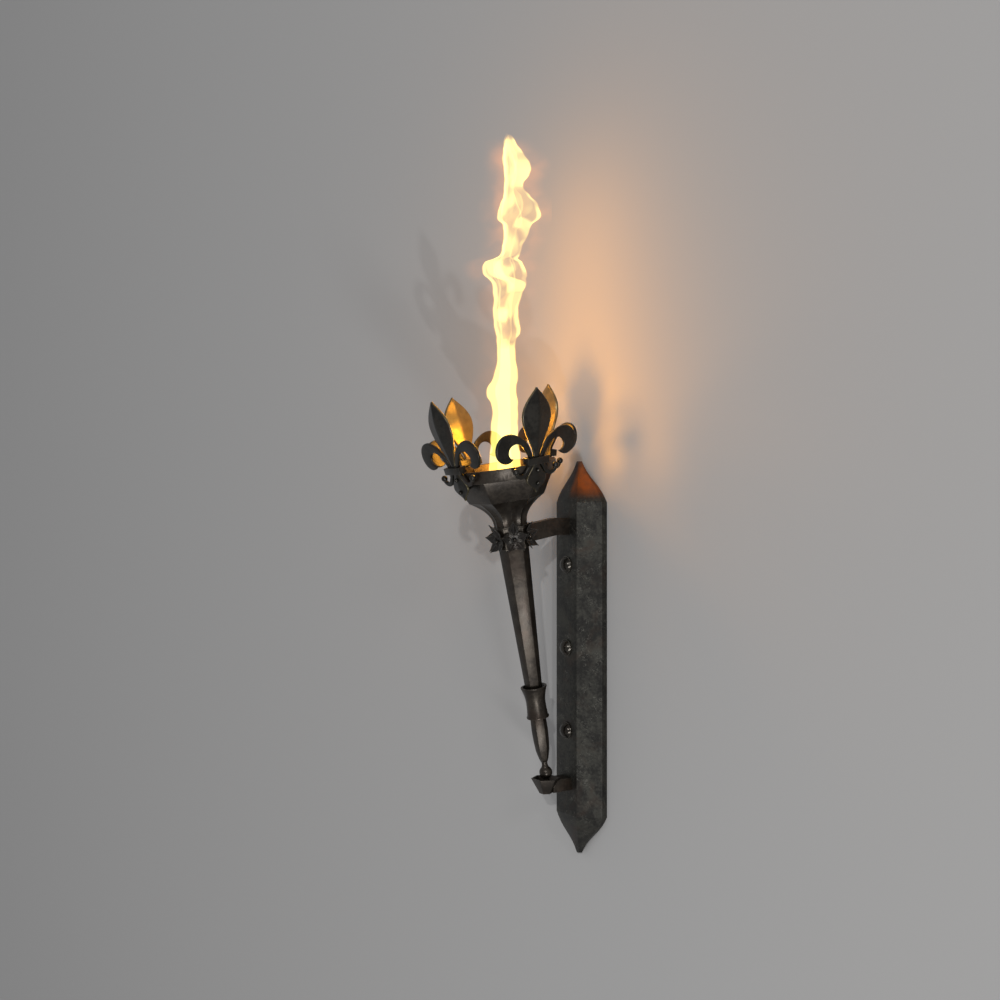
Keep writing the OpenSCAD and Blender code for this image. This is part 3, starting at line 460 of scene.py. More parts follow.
# %% Fluted neck by Geometry Nodes
def fluted_neck_tree():
    """The tree of a neck that is fluted and round below and has six plain sides on top."""
    tree, given, sockets = start_tree("fluted_neck", {
        "Low Radius": ("Float", 0.0245), "Top Radius": ("Float", 0.056), "Height": ("Float", 0.04),
        "Flare": ("Float", 2.3), "Flutes": ("Float", 12.0), "Flute Depth": ("Float", 0.1),
        "Well Radius": ("Float", 0.0106), "Well Top": ("Float", 0.036), "Well Floor": ("Float", 0.011),
        "Bore": ("Float", 0.0033), "Iron": ("Material", None),
    })
    body = add(tree, "GeometryNodeMeshCylinder", {
        "Vertices": 288, "Side Segments": 44, "Radius": 1.0, "Depth": 1.0,
    }, fill_type="NGON")
    spot = add(tree, SPLIT, [add(tree, "GeometryNodeInputPosition")], None).outputs
    turn = add(tree, MATH, [spot["Y"], spot["X"]], operation="ARCTAN2")
    up = add(tree, MATH, [spot["Z"], 0.5], operation="ADD")
    # Radius at this height, before flutes and corners
    flare = add(tree, MATH, [up, given["Flare"]], operation="POWER")
    grown = add(tree, MATH, [given["Top Radius"], given["Low Radius"]], operation="SUBTRACT")
    radius = add(tree, MATH, [grown, flare, given["Low Radius"]], operation="MULTIPLY_ADD")
    # Six flat sides come in towards the top: the angle from a side's middle wraps at each corner
    from_corner = add(tree, MATH, [turn, pi / 6], operation="ADD")
    from_side = add(tree, MATH, [from_corner, pi / 6, -pi / 6], operation="WRAP")
    narrow = add(tree, MATH, [from_side], operation="COSINE")
    flat = add(tree, MATH, [cos(pi / 6), narrow], operation="DIVIDE")
    cut_back = add(tree, MATH, [flat, 1.0], operation="SUBTRACT")
    six = add(tree, MATH, [up, 3.0], operation="POWER")
    sides = add(tree, MATH, [cut_back, six, 1.0], operation="MULTIPLY_ADD")
    # Flutes are deepest a third of the way up and run out at the bowl
    half_flutes = add(tree, MATH, [given["Flutes"], 0.5], operation="MULTIPLY")
    phase = add(tree, MATH, [turn, half_flutes], operation="MULTIPLY")
    wave = add(tree, MATH, [phase], operation="SINE")
    ridge = add(tree, MATH, [wave], operation="ABSOLUTE")
    rise = add(tree, MATH, [up, pi * 5 / 6, pi / 6], operation="MULTIPLY_ADD")
    fade = add(tree, MATH, [rise], operation="SINE")
    kept = add(tree, MATH, [fade, 0.0], operation="MAXIMUM")
    strong = add(tree, MATH, [kept, 0.7], operation="POWER")
    deep = add(tree, MATH, [given["Flute Depth"], strong], operation="MULTIPLY")
    cut = add(tree, MATH, [ridge, deep], operation="MULTIPLY")
    groove = add(tree, MATH, [1.0, cut], operation="SUBTRACT")
    outline = add(tree, MATH, [sides, groove], operation="MULTIPLY")
    reach = add(tree, MATH, [radius, outline], operation="MULTIPLY")
    moved = add(tree, JOIN, [
        add(tree, MATH, [reach, add(tree, MATH, [turn], operation="COSINE")], operation="MULTIPLY"),
        add(tree, MATH, [reach, add(tree, MATH, [turn], operation="SINE")], operation="MULTIPLY"),
        add(tree, MATH, [up, given["Height"]], operation="MULTIPLY"),
    ])
    shaped = add(tree, "GeometryNodeSetPosition", {"Geometry": body, "Position": moved})
    # The well above the shaft and the bore for the tie rod
    well_deep = add(tree, MATH, [given["Height"], given["Well Floor"]], operation="SUBTRACT")
    well = add(tree, "GeometryNodeMeshCone", {
        "Vertices": 72, "Radius Top": given["Well Top"], "Radius Bottom": given["Well Radius"],
        "Depth": add(tree, MATH, [well_deep, 0.5 * MM], operation="ADD"),
    })
    raised = add(tree, "GeometryNodeTransform", {
        "Geometry": well, "Translation": add(tree, JOIN, {"Z": given["Well Floor"]}),
    })
    bore = add(tree, "GeometryNodeMeshCylinder", {
        "Vertices": 48, "Radius": given["Bore"],
        "Depth": add(tree, MATH, [given["Height"], 3.0], operation="MULTIPLY"),
    })
    hollow = add(tree, "GeometryNodeMeshBoolean", {"Mesh 1": shaped}, None,
                 operation="DIFFERENCE", solver="EXACT")
    tree.links.new(raised, hollow.inputs["Mesh 2"])
    tree.links.new(bore, hollow.inputs["Mesh 2"])
    end_tree(tree, hollow.outputs[0], given["Iron"])
    return tree, sockets


neck_tree, neck_sockets = fluted_neck_tree()
neck_high = span("neck", on_torch)[1]
NECK_H = 40.0
neck_place = on_torch @ Matrix.Translation((0, 0, (neck_high.z - NECK_H) * MM))
neck = grow("iron_neck", neck_tree, neck_sockets, {"Iron": torch_iron}, neck_place, 50)
bind(neck, "neck", torch_iron)
print("neck", len(neck.data.polygons), "faces")

# %% [markdown]
# ## The rosettes
# Each rosette is a hub with a ring of five beads and five pointed petals that flare away from
# the collar. One petal is lofted, with its rib down the middle, and the hub is turned
# from its profile, as on a lathe.

# %% One rosette petal and the hub
HUB_R = 9.4
ROSETTE_R = 20.0
PETAL_HALF = 8.2
PETAL_FLARE = 8.0
HUB_PROFILE = [(0.2, 0), (HUB_R, 0), (HUB_R, 0.8), (HUB_R - 0.6, 1.3), (HUB_R - 2.6, 1.6),
               (4.6, 1.3), (3.4, 1.0), (0.2, 0.9)]


def rosette_petal():
    """A leaf-shaped petal along +Y that bends outwards, ribbed in the middle."""
    root, steps = HUB_R - 3.0, 18
    rings = []
    for i in range(steps + 1):
        t = i / steps
        y = root + (ROSETTE_R - root) * t
        full = sin(radians(20 + 155 * t ** 0.8)) ** 0.8 * (1 - t ** 2.6)
        half = 0.5 + (PETAL_HALF - 0.5) * full
        base = 0.9 + PETAL_FLARE * t ** 1.7
        rib, cup = 0.17 * half, 0.1 * half
        # Each point's share of the half width, and its height above the bend
        front = [(-1, 0.7), (-0.9, 1.2), (-0.5, 1.35 - cup), (-0.1, 1.3 + rib), (0, 1.45 + rib),
                 (0.1, 1.3 + rib), (0.5, 1.35 - cup), (0.9, 1.2), (1, 0.7)]
        back = [(0.9, 0.15), (0, -0.3), (-0.9, 0.15)]
        rings.append([(share * half, y, base + z) for share, z in front + back])
    return new_piece("petal_pattern", *loft(rings))


def turned(name, profile, count=64):
    """A closed turned form from a profile of (radius, height) points."""
    rings = [[(r * cos(2 * pi * i / count), r * sin(2 * pi * i / count), z) for i in range(count)]
             for r, z in profile]
    return new_piece(name, *loft(rings))


petal_pattern = rosette_petal()
hub_pattern = turned("hub_pattern", HUB_PROFILE)
print("petal and hub:", len(petal_pattern.data.vertices), "and", len(hub_pattern.data.vertices), "points")

# %% [markdown]
# The tree sets five copies of the petal round the hub, each turned by a fifth more, with a
# bead at each petal's foot. The copies share one mesh until the tree's end, so they cost
# little. The first petal, which points up, is a little longer than the others, and much
# longer on the rosette to the photograph's front right.

# %% The rosette's tree
BEAD_RING_R = 6.6
BEAD_R = 1.7
BEAD_Z = 2.2


def rosette_tree():
    """The tree that sets petals and beads round a hub, with the first petal longer."""
    tree, given, sockets = start_tree("rosette", {
        "Petal": ("Object", None), "Hub": ("Object", None), "Petals": ("Int", 5),
        "Long Petal": ("Float", 1.3), "Bead Ring": ("Float", BEAD_RING_R * MM),
        "Bead Radius": ("Float", BEAD_R * MM), "Bead Height": ("Float", BEAD_Z * MM),
        "Iron": ("Material", None),
    })
    petal = add(tree, "GeometryNodeObjectInfo", {"Object": given["Petal"]}, "Geometry")
    hub = add(tree, "GeometryNodeObjectInfo", {"Object": given["Hub"]}, "Geometry")
    index = add(tree, "GeometryNodeInputIndex")
    step = add(tree, MATH, [2 * pi, given["Petals"]], operation="DIVIDE")
    turn = add(tree, JOIN, {"Z": add(tree, MATH, [index, step], operation="MULTIPLY")})
    # Only the first petal, which points up, is the long one
    first = add(tree, MATH, [index, 0.5], operation="LESS_THAN")
    more = add(tree, MATH, [given["Long Petal"], 1.0], operation="SUBTRACT")
    longer = add(tree, MATH, [first, more, 1.0], operation="MULTIPLY_ADD")
    petals = add(tree, "GeometryNodeInstanceOnPoints", {
        "Points": add(tree, "GeometryNodePoints", {"Count": given["Petals"]}), "Instance": petal,
        "Rotation": turn, "Scale": add(tree, JOIN, [1.0, longer, longer]),
    })
    circle = add(tree, "GeometryNodeMeshCircle", {
        "Vertices": given["Petals"], "Radius": given["Bead Ring"],
    })
    ring = add(tree, "GeometryNodeTransform", {
        "Geometry": circle, "Rotation": (0, 0, pi / 2),
        "Translation": add(tree, JOIN, {"Z": given["Bead Height"]}),
    })
    bead = add(tree, "GeometryNodeMeshUVSphere", {
        "Segments": 20, "Rings": 12, "Radius": given["Bead Radius"],
    })
    beads = add(tree, "GeometryNodeInstanceOnPoints", {"Points": ring, "Instance": bead})
    whole = add(tree, "GeometryNodeJoinGeometry", output=None)
    for part in (petals, beads, hub):
        tree.links.new(part, whole.inputs[0])
    end_tree(tree, whole.outputs[0], given["Iron"])
    return tree, sockets


flower_tree, flower_sockets = rosette_tree()
print("rosette tree:", len(flower_tree.nodes), "nodes")

# %% Rosettes on the collar's free flats
collar_low, collar_high = span("collar_ring", on_torch)
ROSETTE_DROP = 2.0
COLLAR_R = 28.6  # to a corner
SEAT = 0.2
ROSETTE_TOPS = {0: 21.5, 60: 28.0, 120: 22.0, 240: 22.0, 300: 21.5}  # the turn and the top petal
rosette_mid = (collar_low.z + collar_high.z) / 2 - ROSETTE_DROP
collar_flat = COLLAR_R * cos(pi / 6) + SEAT
on_flat = Matrix.Translation((0, -collar_flat * MM, rosette_mid * MM)) @ Matrix.Rotation(pi / 2, 4, "X")
for number, (degrees, top) in enumerate(ROSETTE_TOPS.items(), start=1):
    place = on_torch @ Matrix.Rotation(radians(degrees), 4, "Z") @ on_flat
    rosette = grow(f"iron_rosette_{number}", flower_tree, flower_sockets, {
        "Petal": petal_pattern, "Hub": hub_pattern, "Long Petal": top / ROSETTE_R, "Iron": rosette_iron,
    }, place)
    bind(rosette, f"rosette_{number}", rosette_iron)
for pattern in (petal_pattern, hub_pattern):
    bpy.data.objects.remove(pattern)
print("rosettes of", len(rosette.data.polygons), "faces")

# %% [markdown]
# ## The fleurs-de-lis
# A fleur is a blade that runs from the petal's tip down through the band into a small leaf,
# with a scrolled bar on each side. The blade is creased along its middle and its edge is
# dressed round, so it is lofted from sections with a half-round at each end. Its width is a
# formula of the height, the same one as in the model.

# %% Blade of a fleur
FLEUR_T = 4.0
BAND_H = 10.0
PETAL_L = 103.5
PETAL_W = 51.0
LEAF_L = 47.0
LEAF_W = 35.0
LEAF_FULL = 28.0
PETAL_FULL = 0.6
NECK_HALF = 5.6
TIP_HALF = 0.6
PETAL_RIDGE = 0.24
LEAF_RIDGE = 0.14
PETAL_BACK = 0.18


def swell(t):
    """A soft start and a soft end, from 0 to 1."""
    return sin(pi / 2 * t) ** 1.7


def blade_half(z):
    """Half the blade's width at a height above the band's middle."""
    if z > BAND_H / 2:
        t = (z - BAND_H / 2) / (PETAL_L - BAND_H / 2)
        if t < PETAL_FULL:
            return NECK_HALF + (PETAL_W / 2 - NECK_HALF) * swell(t / PETAL_FULL)
        return TIP_HALF + (PETAL_W / 2 - TIP_HALF) * cos(pi / 2 * (t - PETAL_FULL) / (1 - PETAL_FULL))
    if z > -BAND_H / 2:
        return NECK_HALF
    if z > -LEAF_FULL:
        return NECK_HALF + (LEAF_W / 2 - NECK_HALF) * swell((-z - BAND_H / 2) / (LEAF_FULL - BAND_H / 2))
    return TIP_HALF + (LEAF_W / 2 - TIP_HALF) * cos(pi / 2 * (-z - LEAF_FULL) / (LEAF_L - LEAF_FULL)) ** 1.8


def blade_section(z):
    """A closed ring across the blade: creased front and half-round edges. The petal is ridged on
    its inner side too, and the leaf's back follows its front, so that it lies on the bowl."""
    half = blade_half(z)
    share = min(1, max(0, (z + BAND_H / 2) / BAND_H))
    rise = (LEAF_RIDGE + (PETAL_RIDGE - LEAF_RIDGE) * share) * half
    edge = min(FLEUR_T / 2, 0.7 * half)
    flat = half - edge
    shares = [k / 6 for k in range(-6, 7)]
    front = [(u * flat, -rise * (1 - abs(u) * flat / half), z) for u in shares]
    back_rise = PETAL_BACK * max(0, half - NECK_HALF) if z > 0 else -rise
    back = [(-u * flat, FLEUR_T + back_rise * (1 - abs(u) * flat / half), z) for u in shares]
    y_mid = FLEUR_T / 2 - rise * (1 - flat / half)
    arc = [pi / 2 - pi * k / 6 for k in range(1, 6)]
    right = [(flat + edge * cos(a), y_mid - FLEUR_T / 2 * sin(a), z) for a in arc]
    left = [(-flat - edge * cos(a), y_mid + FLEUR_T / 2 * sin(a), z) for a in arc]
    return front + right + back + left


def eased(low, high, count):
    """Heights from low to high, closer together towards both ends."""
    return [low + (high - low) * (1 - cos(pi * k / count)) / 2 for k in range(count + 1)]


blade_heights = eased(-LEAF_L, -BAND_H / 2, 26) + eased(BAND_H / 2, PETAL_L, 46)
blade_skin = loft([blade_section(z) for z in blade_heights])
widest = 2 * max(map(blade_half, blade_heights))
print("blade:", len(blade_skin[0]), "points, widest", round(widest, 1), "mm")

# %% [markdown]
# Each scroll bar is one spiral above the band and a tighter one below it that ends in a small
# ball. Pairs of points on the bar's two edges follow the model's rule, a curve through them
# fills in more, and a section with round corners spans each pair.

# %% Scrolled bar of a fleur
BAR_W = 7.0
BAR_IN = NECK_HALF + 0.8
FRONT_PROUD = 0.8
SCROLL_X, SCROLL_UP, SCROLL_W = 40.0, 16.0, 23.0
EYE_R, EYE_OPEN, EYE_END, EYE_FULL = 8.4, 12.0, 260, 150
ROOT_W = 9.6
HOOK_X, HOOK_Z, HOOK_IN, HOOK_OPEN, HOOK_W = 25.6, -12.5, 4.6, 2.6, 7.6
HOOK_BALL_R = 4.6


def scroll_edges():
    """Pairs of points on the bar's inner and outer edge, from the large eye to the small hook."""
    pairs = []
    for a in range(EYE_END, -1, -10):
        inner = EYE_R + EYE_OPEN * exp(-(a + 5) / 70)
        if a > EYE_FULL:
            wide = TIP_HALF + (SCROLL_W - TIP_HALF) * cos(pi / 2 * (a - EYE_FULL) / (EYE_END - EYE_FULL))
        else:
            wide = ROOT_W + (SCROLL_W - ROOT_W) * max(0, sin(pi / 2 * (a - 30) / (EYE_FULL - 30))) ** 3
        way = Vector((-cos(radians(a)), sin(radians(a))))
        eye = Vector((SCROLL_X, SCROLL_UP))
        pairs.append((eye + way * inner, eye + way * (inner + wide)))
    for z in (BAND_H / 2, -BAND_H / 2):
        pairs.append((Vector((BAR_IN + BAR_W, z)), Vector((BAR_IN, z))))
    for a in range(0, 181, 15):
        inner = HOOK_IN + HOOK_OPEN * exp(-a / 30) + 3 * (a / 180) ** 2
        way = Vector((-cos(radians(a)), -sin(radians(a))))
        hook = Vector((HOOK_X, HOOK_Z))
        pairs.append((hook + way * inner, hook + way * (inner + HOOK_W - a / 70)))
    return pairs


def smoothed(points, steps=3):
    """More points along a smooth curve through the given ones (Catmull-Rom)."""
    result = []
    for i in range(len(points) - 1):
        before, start = points[max(i - 1, 0)], points[i]
        end, after = points[i + 1], points[min(i + 2, len(points) - 1)]
        for k in range(steps):
            t = k / steps
            bend = (2 * before - 5 * start + 4 * end - after) * t ** 2
            twist = (3 * start - before - 3 * end + after) * t ** 3
            result.append(0.5 * (2 * start + (end - before) * t + bend + twist))
    return result + [points[-1]]


def bar_section(inner, outer):
    """A ring round the bar: a rectangle from inner to outer edge whose corners are dressed round."""
    across = outer - inner
    wide = across.length
    way = across / wide
    deep = FLEUR_T + min(FRONT_PROUD, wide / 6)
    r_wide, r_deep = min(1.9, wide / 2.1), min(1.5, deep / 2.1)
    ring = []
    for corner, (u0, v0) in enumerate(((wide - r_wide, r_deep), (wide - r_wide, deep - r_deep),
                                       (r_wide, deep - r_deep), (r_wide, r_deep))):
        for k in range(5):
            a = -pi / 2 + corner * pi / 2 + k * pi / 8
            u, v = u0 + r_wide * cos(a), v0 + r_deep * sin(a)
            ring.append((inner.x + way.x * u, FLEUR_T - deep + v, inner.y + way.y * u))
    return ring


inner_line, outer_line = (smoothed([Vector(pair[side]) for pair in scroll_edges()]) for side in (0, 1))
bar_vertices, bar_faces = loft([bar_section(a, b) for a, b in zip(inner_line, outer_line)])
hook_end = (inner_line[-1] + outer_line[-1]) / 2


def ball_skin(middle, radius, count=24, rows=14):
    """Vertices and faces of a closed ball."""
    x, y, z = middle
    turns = [2 * pi * i / count for i in range(count)]
    rings = []
    for k in range(rows + 1):
        a = -pi / 2 + pi * k / rows
        ring_r = max(radius * cos(a), 0.02)
        rings.append([(x + ring_r * cos(b), y + ring_r * sin(b), z + radius * sin(a)) for b in turns])
    return loft(rings)


ball_vertices, ball_faces = ball_skin((hook_end.x, FLEUR_T / 2, hook_end.y), HOOK_BALL_R)
offset = len(bar_vertices)
ball_faces = [[i + offset for i in face] for face in ball_faces]
bar_skin = (bar_vertices + ball_vertices, bar_faces + ball_faces)
print("scroll bar:", len(bar_skin[0]), "points")

# %% [markdown]
# The four fleurs lean out by 13 degrees from the torch's axis. Each takes its place from its
# band, and its second bar is the first one's mirror image.

# %% Set the fleurs round the rim
FLEUR_TURNS = {"front": 0, "right": 90, "back": 180, "left": 270}
TILT = radians(13)
BAND_CENTRE = (FLEUR_T - PETAL_RIDGE * NECK_HALF) / 2
# The points of one section in order: front, right edge, back, left edge, each with its share of painted
# flame light on the inner side
PAINTED_FLAME_LIGHT_SHARES = [0] * 13 + [0.2, 0.5, 0.8, 1, 1] + [1] * 13 + [1, 1, 0.8, 0.5, 0.2]


def mark_inner(blade):
    """Gives every point of a blade its share of painted flame light on the inner side."""
    shares = PAINTED_FLAME_LIGHT_SHARES * (len(blade.data.vertices) // len(PAINTED_FLAME_LIGHT_SHARES))
    blade.data.attributes.new("inner", "FLOAT", "POINT").data.foreach_set("value", shares)


for side, degrees in FLEUR_TURNS.items():
    upright = on_torch @ Matrix.Rotation(radians(degrees), 4, "Z") @ Matrix.Rotation(TILT, 4, "X")
    low, high = span("fleur_band_" + side, upright)
    fleur_place = upright @ Matrix.Translation((low + high) / 2 * MM - Vector((0, BAND_CENTRE, 0)) * MM)
    blade = new_piece("iron_fleur_petal_" + side, *blade_skin, fleur_place)
    mark_inner(blade)
    smooth(blade, 35)
    bind(blade, "fleur_petal_" + side, fleur_iron)
    for letter, flip in (("a", 1), ("b", -1)):
        mirrored = fleur_place @ Matrix.Diagonal((flip, 1, 1, 1))
        bar = smooth(new_piece(f"iron_fleur_scroll_{side}_{letter}", *bar_skin, mirrored), 40)
        bind(bar, f"fleur_scroll_{side}_{letter}", fleur_iron)
    print("fleur", side, "at", [round(v / MM) for v in fleur_place.translation], "mm")

# %% [markdown]
# ## The camera
# The photograph was taken from the right of the sconce and level with its bowl. The camera's
# place and focal length were worked out from the plate's corners and the torch's outlines.

# %% Camera
camera_data = bpy.data.cameras.new("photo_camera")
camera_data.lens = 43.2
camera_data.sensor_width = 36.0
camera = bpy.data.objects.new("photo_camera", camera_data)
camera.location = (1.4202, -1.1896, 0.2406)
camera.rotation_euler = (radians(90), 0, radians(54.06))
bpy.context.scene.collection.objects.link(camera)
bpy.context.scene.camera = camera
print("camera at", [round(v, 3) for v in camera.location], "lens", round(camera_data.lens, 1), "mm")

# %% [markdown]
# ## Wall and light
# The sconce hangs on a plain pale wall. The wall shows only from the room's side, so that
# views from behind look through it at the sconce's back, and it is open behind the plate's
# hollow. Two softboxes stand to the right of the camera, one high and one low, as the two
# highlights on each domed nut tell, and two small lamps stand above and below the camera,
# because the crown throws two crisp shadows on the wall. There is no floor: the sconce hangs
# high, and a floor would stand in the way of the two low lamps.

# %% Stage
def wall_paint():
    """Matt wall paint, seen only from the room."""
    material = bpy.data.materials.new("pale_wall_paint")
    material.use_nodes = True
    tree = material.node_tree
    shader = tree.nodes["Principled BSDF"]
    shader.inputs["Base Color"].default_value = linear("#a5a4a3")
    shader.inputs["Roughness"].default_value = 0.85
    either = add(tree, "ShaderNodeMixShader", [
        add(tree, "ShaderNodeNewGeometry", output="Backfacing"), shader.outputs[0],
        add(tree, "ShaderNodeBsdfTransparent"),
    ])
    tree.links.new(either, tree.nodes["Material Output"].inputs["Surface"])
    return material


WALL_HALF = 5.0
HOLE_INSET, HOLE_END = 0.006, 0.072  # in from the plate's sides and ends
plate_low, plate_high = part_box("wall_plate")
left, right = plate_low.x + HOLE_INSET, plate_high.x - HOLE_INSET
bottom, top = plate_low.z + HOLE_END, plate_high.z - HOLE_END
hole = [(left, bottom), (right, bottom), (right, top), (left, top)]
outline = [(x * WALL_HALF, z * WALL_HALF) for x, z in ((-1, -1), (1, -1), (1, 1), (-1, 1))]
stand_up = Matrix.Rotation(pi / 2, 4, "X")
form = bmesh.new()
edges = []
for loop in (outline, hole):
    corners = [form.verts.new(stand_up @ Vector((x, z, 0))) for x, z in loop]
    edges += [form.edges.new(pair) for pair in zip(corners, corners[1:] + corners[:1])]
bmesh.ops.triangle_fill(form, use_beauty=True, edges=edges)
for face in form.faces:
    if face.normal.y > 0:
        face.normal_flip()
wall_mesh = bpy.data.meshes.new("wall")
form.to_mesh(wall_mesh)
form.free()
wall_mesh.materials.append(wall_paint())
wall = bpy.data.objects.new("wall", wall_mesh)
bpy.context.scene.collection.objects.link(wall)
print("wall:", len(wall_mesh.polygons), "triangles")

# %% Studio lamps
CROWN = Vector((0, -0.12, 0.15))
STUDIO_LAMPS = {  # azimuth and elevation in degrees, distance and size in metres, watts
    "softbox_high": (67, 21, 4.5, 0.48, 15),
    "softbox_low": (68, -24, 4.5, 0.48, 48),
    "lamp_above_camera": (46.5, 19, 8.0, 0.16, 150),
    "lamp_below_camera": (58.2, -31.9, 8.0, 0.16, 125),
}
for name, (azimuth, elevation, distance, size, watts) in STUDIO_LAMPS.items():
    data = bpy.data.lights.new(name, "AREA")
    data.energy = watts
    data.size = size
    lamp = bpy.data.objects.new(name, data)
    turn, rise = radians(azimuth), radians(elevation)
    back = Vector((sin(turn) * cos(rise), -cos(turn) * cos(rise), sin(rise)))
    lamp.location = CROWN + back * distance
    lamp.rotation_euler = back.to_track_quat("Z", "Y").to_euler()
    bpy.context.scene.collection.objects.link(lamp)
    print(name, "at", [round(v, 2) for v in lamp.location])
world = bpy.data.worlds.new("studio")
bpy.context.scene.world = world
world.use_nodes = True
world.node_tree.nodes["Background"].inputs["Color"].default_value = linear("#d9dadc")
world.node_tree.nodes["Background"].inputs["Strength"].default_value = 0.63

# %% [markdown]
# ## The flame
# A flame is light and no piece of the sconce, so it is made of lamps alone, which ride with
# the burner. Six upright cards stand on its axis, back to back in three crossing planes, and
# the pair that faces the photograph's camera is the brightest. Each is an area lamp that only
# the camera and the iron's gloss see, and its nodes draw the flame on it: a solid column below,
# which breaks up above into hollow wisps that are bright along their edges. Point lamps inside
# the flame light iron and wall.

# %% The flame's outline and colours
FLAME_W = 140.0
FLAME_H = 505.0
FLAME_FOOT = 20.0  # below the rim's top
FLAME_SWAY = 8.0
FILM_COLOURS = ("#ffc05a", "#fff080")
HAZE_COLOUR = "#ff9422"
MIRRORED = 20.0
# Height, shift to the right and half width in mm, then how full the flame is, from 0 to 1, and
# the place of that fullness in mm to the right
FLAME_STEPS = [
    (0, 1, 23.4, 1, 0), (17, 2, 23.7, 1, 0), (56, 0, 21.2, 1, 0), (110, 0, 19.8, 1, 0),
    (124, -4, 22.5, 1, 0), (133, -4, 22.5, 1, 0), (144, 1, 19, 1, 0), (155, 3, 18, 1, 0),
    (203, 4, 14.1, 0.6, -4), (214, 6, 18.3, 0.25, 0), (229, 3, 19.5, 0.5, -6), (242, 2, 20.1, 0.85, -4),
    (256, 3, 20.3, 0.3, 0), (270, 5, 21.5, 0.35, 14), (283, 8, 24.5, 0.85, 20), (292, 5, 28, 0.8, 6),
    (302, 1, 33, 0.9, -12), (317, -1, 27.8, 0.85, -16), (327, 8, 14.7, 0.4, 4), (340, 12, 16, 0.5, 10),
    (354, 17, 18.4, 0.4, 8), (371, 19, 20.5, 0.2, 8), (384, 22, 32.6, 0.25, 20), (401, 22, 28.6, 0.3, 30),
    (415, 18, 19.4, 0.3, 24), (430, 14, 15, 0.7, 22), (445, 18, 18.7, 0.85, 27), (459, 19, 20.2, 0.85, 28),
    (474, 15, 16.5, 0.5, 20), (487, 10, 11.7, 0.7, 10), (499, 8, 6.6, 0.7, 8), (505, 8, 0.5, 0.7, 8),
]
print("flame:", FLAME_H, "mm high, drawn in", len(FLAME_STEPS), "steps")

# %% [markdown]
# A card has two coordinates of its own, from 0 to 1. The nodes turn them to millimetres, bend
# them by slow noise, and measure how far inside the outline each point lies. From that come
# the bright edge, the lit lumps and the haze around.

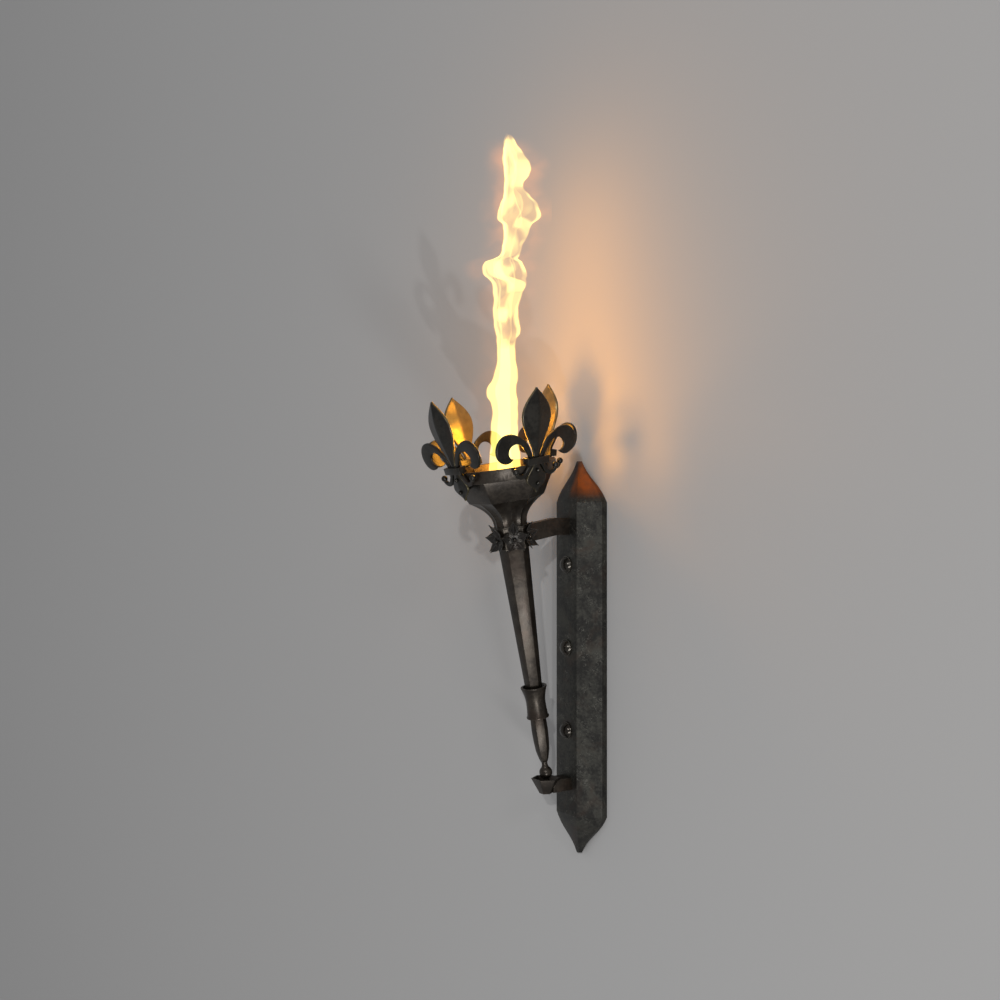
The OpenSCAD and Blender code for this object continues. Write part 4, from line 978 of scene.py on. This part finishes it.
# %% The flame's nodes
def draw_flame(tree, seed, share):
    """The nodes that give a flame card its light, from the card's own two coordinates."""
    spot = add(tree, SPLIT, [add(tree, "ShaderNodeNewGeometry", output="Parametric")], None).outputs
    up = add(tree, MATH, [1.0, spot["Y"]], operation="SUBTRACT")
    height = add(tree, MATH, [up, FLAME_H], operation="MULTIPLY")
    side = add(tree, MATH, [spot["X"], FLAME_W, -FLAME_W / 2], operation="MULTIPLY_ADD")
    where = add(tree, JOIN, [side, height, seed])
    curves = []
    in_width = 1 / FLAME_W
    for column, scale, start in ((1, in_width, 0.5), (2, in_width, 0), (3, 1, 0), (4, in_width, 0.5)):
        node = add(tree, "ShaderNodeFloatCurve", {"Value": up}, None)
        steps = [(step[0] / FLAME_H, step[column] * scale + start) for step in FLAME_STEPS]
        points = node.mapping.curves[0].points
        points[0].location, points[1].location = steps[0], steps[-1]
        for step in steps[1:-1]:
            points.new(*step)
        node.mapping.update()
        curves.append(node.outputs[0])
    shift, half_width, fullness, full_place = curves
    # Slow waves bend the outline a little
    waves = add(tree, NOISE, {"Vector": where, "Scale": 1 / 30, "Detail": 1.0})
    swayed = add(tree, MATH, [waves, FLAME_SWAY, side], operation="MULTIPLY_ADD")
    mean = (FLAME_SWAY - FLAME_W) / 2
    centre = add(tree, MATH, [shift, FLAME_W, mean], operation="MULTIPLY_ADD")
    from_centre = add(tree, MATH, [swayed, centre], operation="SUBTRACT")
    off = add(tree, MATH, [from_centre], operation="ABSOLUTE")
    half = add(tree, MATH, [half_width, FLAME_W], operation="MULTIPLY")
    inside = add(tree, MATH, [half, off], operation="SUBTRACT")
    body = add(tree, RANGE, [inside, -0.5, 2.0], **SOFT)
    # High up the flame is a thin wall of fire: bright at its edge, nearly clear inside it
    rolls = add(tree, NOISE, {"Vector": where, "Scale": 1 / 38, "Detail": 1.0})
    folds = add(tree, RANGE, [rolls, 0.4, 0.58, 0.4, 1.0], **SOFT)
    leftward = add(tree, RANGE, [from_centre, 0.0, -8.0], **SOFT)
    strong = add(tree, MATH, [folds, leftward], operation="MAXIMUM")
    hem = add(tree, RANGE, [inside, 11.0, 2.0], **SOFT)
    edge = add(tree, MATH, [hem, strong], operation="MULTIPLY")
    billows = add(tree, NOISE, {"Vector": where, "Scale": 1 / 32, "Detail": 0.6, "Distortion": 0.4})
    puffs = add(tree, RANGE, [billows, 0.46, 0.66, 0.16, 0.6], **SOFT)
    solid = add(tree, RANGE, [up, 0.41, 0.37], **SOFT)
    full_at = add(tree, MATH, [full_place, FLAME_W, mean], operation="MULTIPLY_ADD")
    from_full = add(tree, MATH, [swayed, full_at], operation="SUBTRACT")
    aside = add(tree, MATH, [from_full], operation="ABSOLUTE")
    near = add(tree, RANGE, [aside, 19.0, 8.0], **SOFT)
    lump = add(tree, MATH, [near, fullness], operation="MULTIPLY")
    lit = edge
    for other in (puffs, solid, lump):
        lit = add(tree, MATH, [lit, other], operation="MAXIMUM")
    # Round the film hangs a haze, stronger high up
    rising = add(tree, RANGE, [up, 0.45, 0.9, 0.06, 0.26])
    ending = add(tree, RANGE, [up, 1.0, 0.92], **SOFT)
    glow = add(tree, MATH, [rising, ending], operation="MULTIPLY")
    around = add(tree, RANGE, [inside, -34.0, 0.0], **SOFT)
    haze = add(tree, MATH, [around, glow], operation="MULTIPLY")
    uneven = add(tree, MATH, [haze, folds], operation="MULTIPLY")
    total = add(tree, MATH, [body, lit, uneven], operation="MULTIPLY_ADD")
    low_end = add(tree, RANGE, [up, 0.0, 0.02])
    high_end = add(tree, RANGE, [up, 1.0, 0.98])
    ends = add(tree, MATH, [low_end, high_end], operation="MULTIPLY")
    fire = add(tree, MATH, [total, ends], operation="MULTIPLY")
    emission = tree.nodes["Emission"]
    heat = add(tree, RANGE, [fire, 0.3, 0.75])
    film = add(tree, MIX, {0: heat, 6: FILM_COLOURS[0], 7: FILM_COLOURS[1]}, **COLOUR)
    warm = add(tree, MIX, {0: body, 6: HAZE_COLOUR, 7: film}, **COLOUR)
    tree.links.new(warm, emission.inputs["Color"])
    # Gloss mirrors the flame at its true strength; the camera would see that as plain white
    mirrored = add(tree, "ShaderNodeLightPath", output="Is Glossy Ray")
    power = add(tree, MATH, [mirrored, MIRRORED * share, share], operation="MULTIPLY_ADD")
    tree.links.new(add(tree, MATH, [fire, power], operation="MULTIPLY"), emission.inputs["Strength"])


# %% Flame cards
FLAME_TURNS = (54, 114, 174, 234, 294, 354)
CARD_GAP = 0.2
CROSS_SHARE = 0.25
SEED_STEP = 20.0
rim_high = span("rim_ring", on_torch)[1]
flame_foot = on_torch @ Vector((0, 0, (rim_high.z - FLAME_FOOT) * MM))
for number, degrees in enumerate(FLAME_TURNS):
    data = bpy.data.lights.new(f"flame_card_{number + 1}", "AREA")
    data.shape = "RECTANGLE"
    data.size, data.size_y = FLAME_W * MM, FLAME_H * MM
    data.energy = pi * data.size * data.size_y
    data.use_nodes = True
    plane = number % 3
    draw_flame(data.node_tree, SEED_STEP * plane, CROSS_SHARE if plane else 1.0)
    card = bpy.data.objects.new(data.name, data)
    outward = Vector((sin(radians(degrees)), -cos(radians(degrees)), 0))
    card.location = flame_foot + Vector((0, 0, FLAME_H / 2 * MM)) + outward * CARD_GAP * MM
    card.rotation_euler = (radians(-90), 0, radians(degrees))
    card.visible_camera = True
    card.visible_diffuse = False
    card.visible_transmission = False
    bpy.context.scene.collection.objects.link(card)
    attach(card, "burner")
print("flame cards:", len(FLAME_TURNS), "from", [round(v / MM) for v in flame_foot], "mm upwards")

# %% Flame lamps
FLAME_LAMPS = [(45, 0.75), (90, 0.8), (200, 0.38), (300, 0.4), (400, 0.42)]  # height in mm, watts
LAMP_COLOUR = "#ffab34"
LAMP_R = 0.02
for number, (height, watts) in enumerate(FLAME_LAMPS, start=1):
    data = bpy.data.lights.new(f"flame_lamp_{number}", "POINT")
    data.energy = watts
    data.color = linear(LAMP_COLOUR)[:3]
    data.shadow_soft_size = LAMP_R
    lamp = bpy.data.objects.new(data.name, data)
    lamp.location = flame_foot + Vector((0, 0, height * MM))
    bpy.context.scene.collection.objects.link(lamp)
    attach(lamp, "burner")
print("flame lamps:", sum(watts for height, watts in FLAME_LAMPS), "watts in all")

# %% [markdown]
# ## Finish
# Colours should come out as they are written, so the view transform is the plain one.

# %% Finish
bpy.context.scene.view_settings.view_transform = "Standard"
